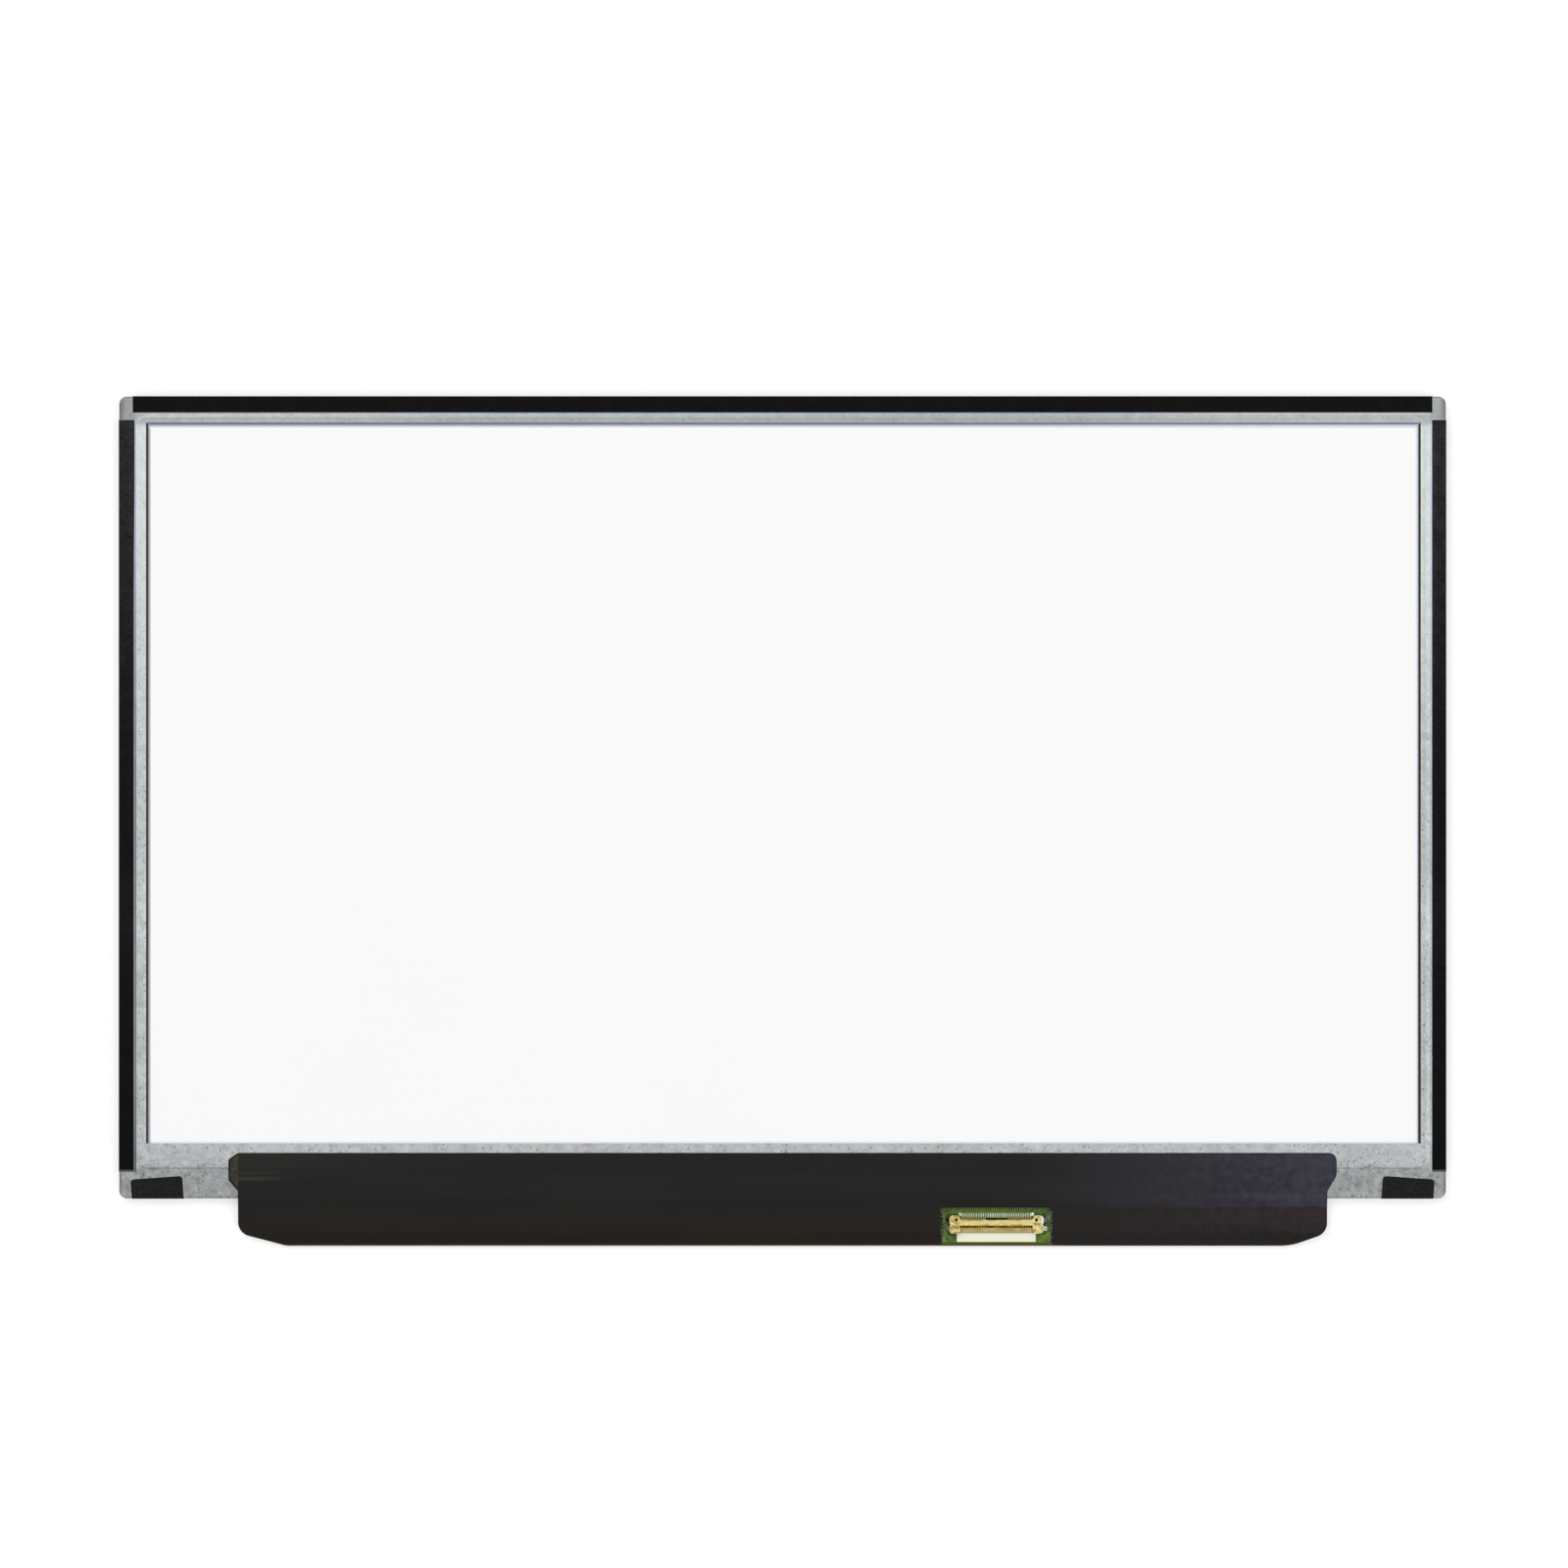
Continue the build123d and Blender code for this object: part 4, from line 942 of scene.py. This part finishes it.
def tape_margin():
    """Clear strip that stands out past the black of the left tape, a little narrower at its upper end."""
    outline = [
        (LEFT_TAPE_EDGE, TAPE_END),
        (LEFT_TAPE_EDGE + MARGIN_WIDTH, TAPE_END),
        (LEFT_TAPE_EDGE + MARGIN_WIDTH, MARGIN_TAPER_FROM),
        (LEFT_TAPE_EDGE + MARGIN_WIDTH * 0.85, MARGIN_TOP),
        (LEFT_TAPE_EDGE, MARGIN_TOP),
    ]
    count = len(outline)
    levels = (STEEL_BACK, STEEL_BACK + MARGIN_THICKNESS)
    points = [(x * MM, y * MM, z * MM) for z in levels for x, y in outline]
    under = list(range(count))[::-1]
    upper = list(range(count, 2 * count))
    walls = [(n, (n + 1) % count, (n + 1) % count + count, n + count) for n in range(count)]
    mesh = bpy.data.meshes.new("left_tape_margin")
    mesh.from_pydata(points, [], [under, upper, *walls])
    return mesh


add_piece("left_tape_margin", tape_margin(), clear_margin())


class Pattern(Nodes):
    """A Geometry Nodes tree for repeated parts, turned into a plain mesh once it is set."""

    def __init__(self, name, **sizes):
        super().__init__(bpy.data.node_groups.new(name, "GeometryNodeTree"))
        self.name = name
        self.sizes = sizes
        self.sockets = {}
        self.tree.interface.new_socket("Geometry", in_out="OUTPUT", socket_type="NodeSocketGeometry")
        for size, value in sizes.items():
            kind = "NodeSocketInt" if isinstance(value, int) else "NodeSocketFloat"
            socket = self.tree.interface.new_socket(size, in_out="INPUT", socket_type=kind)
            self.sockets[size] = socket.identifier
        self.entry = self.tree.nodes.new("NodeGroupInput")

    def size(self, name):
        """A named size of the pattern."""
        return Wire(self, self.entry.outputs[name])

    def spot(self, x, y, z):
        return self.node("ShaderNodeCombineXYZ", {}, {0: x, 1: y, 2: z})

    def piece(self, points, part, material, slot):
        """Set the part on each point and keep the result as one mesh."""
        placed = self.node("GeometryNodeInstanceOnPoints", {}, {"Points": points, "Instance": part})
        solid = self.node("GeometryNodeRealizeInstances", {}, {0: placed})
        faced = self.node("GeometryNodeSetMaterial", {}, {0: solid, "Material": material})
        way_out = self.tree.nodes.new("NodeGroupOutput")
        self.tree.links.new(faced.socket, way_out.inputs[0])
        maker = bpy.data.objects.new(self.name, bpy.data.meshes.new(self.name))
        bpy.context.scene.collection.objects.link(maker)
        modifier = maker.modifiers.new(self.name, "NODES")
        modifier.node_group = self.tree
        for size, value in self.sizes.items():
            modifier[self.sockets[size]] = value
        evaluated = maker.evaluated_get(bpy.context.evaluated_depsgraph_get())
        mesh = bpy.data.meshes.new_from_object(evaluated)
        bpy.data.objects.remove(maker)
        mesh.name = self.name
        add_piece(self.name, mesh, material)


def mound_sizes(mound):
    """Named inputs for a mound's width, length and height."""
    return {name: size * MM for name, size in zip(("Width", "Length", "Height"), mound)}


def dome(pattern):
    """Low solder mound with a flat foot."""
    ball = pattern.node("GeometryNodeMeshUVSphere", {}, {"Segments": 12, "Rings": 8, "Radius": 1.0})
    spot = pattern.node("GeometryNodeInputPosition")
    x, y, z = pattern.split(spot, "XYZ")
    width, length, height = [pattern.size(name) for name in ("Width", "Length", "Height")]
    shaped = pattern.spot(x * width * 0.5, y * length * 0.5, z.most(0.0) * height)
    return pattern.node("GeometryNodeSetPosition", {}, {"Geometry": ball, "Position": shaped})


def solder_row():
    """Solder mounds, one round each contact's tail."""
    sizes = mound_sizes(TAIL_MOUND)
    pattern = Pattern("tail_solder", Count=CONTACT_COUNT, Pitch=CONTACT_PITCH * MM, **sizes)
    first = SOCKET_X - (CONTACT_COUNT - 1) * CONTACT_PITCH / 2
    start = (first * MM, (TAIL_BACK + TAIL_FRONT) / 2 * MM, BOARD_BACK * MM)
    step = pattern.spot(pattern.size("Pitch"), 0.0, 0.0)
    row = pattern.node(
        "GeometryNodeMeshLine",
        {"mode": "OFFSET"},
        {"Count": pattern.size("Count"), "Start Location": start, "Offset": step},
    )
    pattern.piece(row, dome(pattern), tail_tin(), "steel")


def solder_pads(name, spread, pitch, middle, mound, material):
    """Solder mounds on the corners of a rectangle about the socket's X."""
    pattern = Pattern(name, Spread=spread * MM, Pitch=pitch * MM, **mound_sizes(mound))
    corners = pattern.node(
        "GeometryNodeMeshGrid",
        {},
        {
            "Size X": pattern.size("Spread"),
            "Size Y": pattern.size("Pitch"),
            "Vertices X": 2,
            "Vertices Y": 2,
        },
    )
    place = (SOCKET_X * MM, middle * MM, BOARD_BACK * MM)
    corners = pattern.node("GeometryNodeTransform", {}, {"Geometry": corners, "Translation": place})
    pattern.piece(corners, dome(pattern), material, "steel")


solder_row()
solder_pads("foot_solder", FOOT_SPREAD, FOOT_PITCH, SOCKET_MIDDLE, FOOT_MOUND, foot_tin())
solder_pads("anchor_solder", ANCHOR_SPREAD, ANCHOR_PITCH, ANCHOR_MIDDLE, ANCHOR_MOUND, anchor_tin())

# White floor, soft light and the camera straight above the back
floor_mesh = bpy.data.meshes.new("floor")
floor_half = 6.0
floor_gap = 0.0001
floor_tone = 0.62
floor_glow = 0.48
floor_corners = [(x * floor_half, y * floor_half, 0) for x, y in ((-1, -1), (1, -1), (1, 1), (-1, 1))]
floor_mesh.from_pydata(floor_corners, [], [(0, 1, 2, 3)])
floor = bpy.data.objects.new("floor", floor_mesh)
bpy.context.scene.collection.objects.link(floor)
floor.location.z = -floor_gap

paint = bpy.data.materials.new("floor_paint")
paint.use_nodes = True
paint_nodes = Nodes(paint.node_tree)
paint_nodes.tree.nodes.clear()
glow_strength = paint_nodes.seen() * floor_glow
matt = paint_nodes.node("ShaderNodeBsdfDiffuse", {}, {"Color": colour(floor_tone)})
glow = paint_nodes.node("ShaderNodeEmission", {}, {"Color": colour(1.0), "Strength": glow_strength})
both = paint_nodes.node("ShaderNodeAddShader", {}, {0: matt, 1: glow})
surface = paint_nodes.tree.nodes.new("ShaderNodeOutputMaterial")
paint_nodes.tree.links.new(both.socket, surface.inputs["Surface"])
floor_mesh.materials.append(paint)

world = bpy.data.worlds.new("studio")
bpy.context.scene.world = world
world.use_nodes = True
sky = Nodes(world.node_tree)
backdrop = sky.tree.nodes["Background"]
way = sky.node("ShaderNodeTexCoord", output="Generated")
lift = sky.split(way, "Z")[0]
dome_light = sky.node(
    "ShaderNodeMapRange",
    {"interpolation_type": "SMOOTHSTEP"},
    {"Value": lift, "From Min": 0.0, "From Max": 0.9, "To Min": 0.30, "To Max": 0.80},
)
plain = sky.seen()
strength = dome_light * (1.0 - plain) + plain
sky.tree.links.new(strength.socket, backdrop.inputs["Strength"])
backdrop.inputs["Color"].default_value = colour(1.0)


def soft_lamp(name, place, size, power):
    """Large square lamp that looks at the panel's middle."""
    light = bpy.data.lights.new(name, "AREA")
    light.shape = "SQUARE"
    light.size = size
    light.energy = power
    lamp = bpy.data.objects.new(name, light)
    bpy.context.scene.collection.objects.link(lamp)
    lamp.location = place
    aim = -lamp.location.normalized()
    lamp.rotation_mode = "QUATERNION"
    lamp.rotation_quaternion = aim.to_track_quat("-Z", "Y")
    lamp.visible_camera = False


soft_lamp("key_lamp", (-0.9, 1.1, 1.9), 1.6, 16.0)
soft_lamp("fill_lamp", (1.2, -0.6, 1.7), 1.6, 9.0)

camera_data = bpy.data.cameras.new("camera")
camera_data.lens = 200.0
camera_data.sensor_width = 36.0
camera = bpy.data.objects.new("camera", camera_data)
bpy.context.scene.collection.objects.link(camera)
frame_width = 334.2
frame_x, frame_y, back_height = 0.31, 7.92, 2.8
camera_height = back_height + frame_width * camera_data.lens / camera_data.sensor_width
camera.location = (frame_x * MM, frame_y * MM, camera_height * MM)
camera_data.clip_end = 20.0
bpy.context.scene.camera = camera

bpy.context.scene.view_settings.view_transform = "Standard"
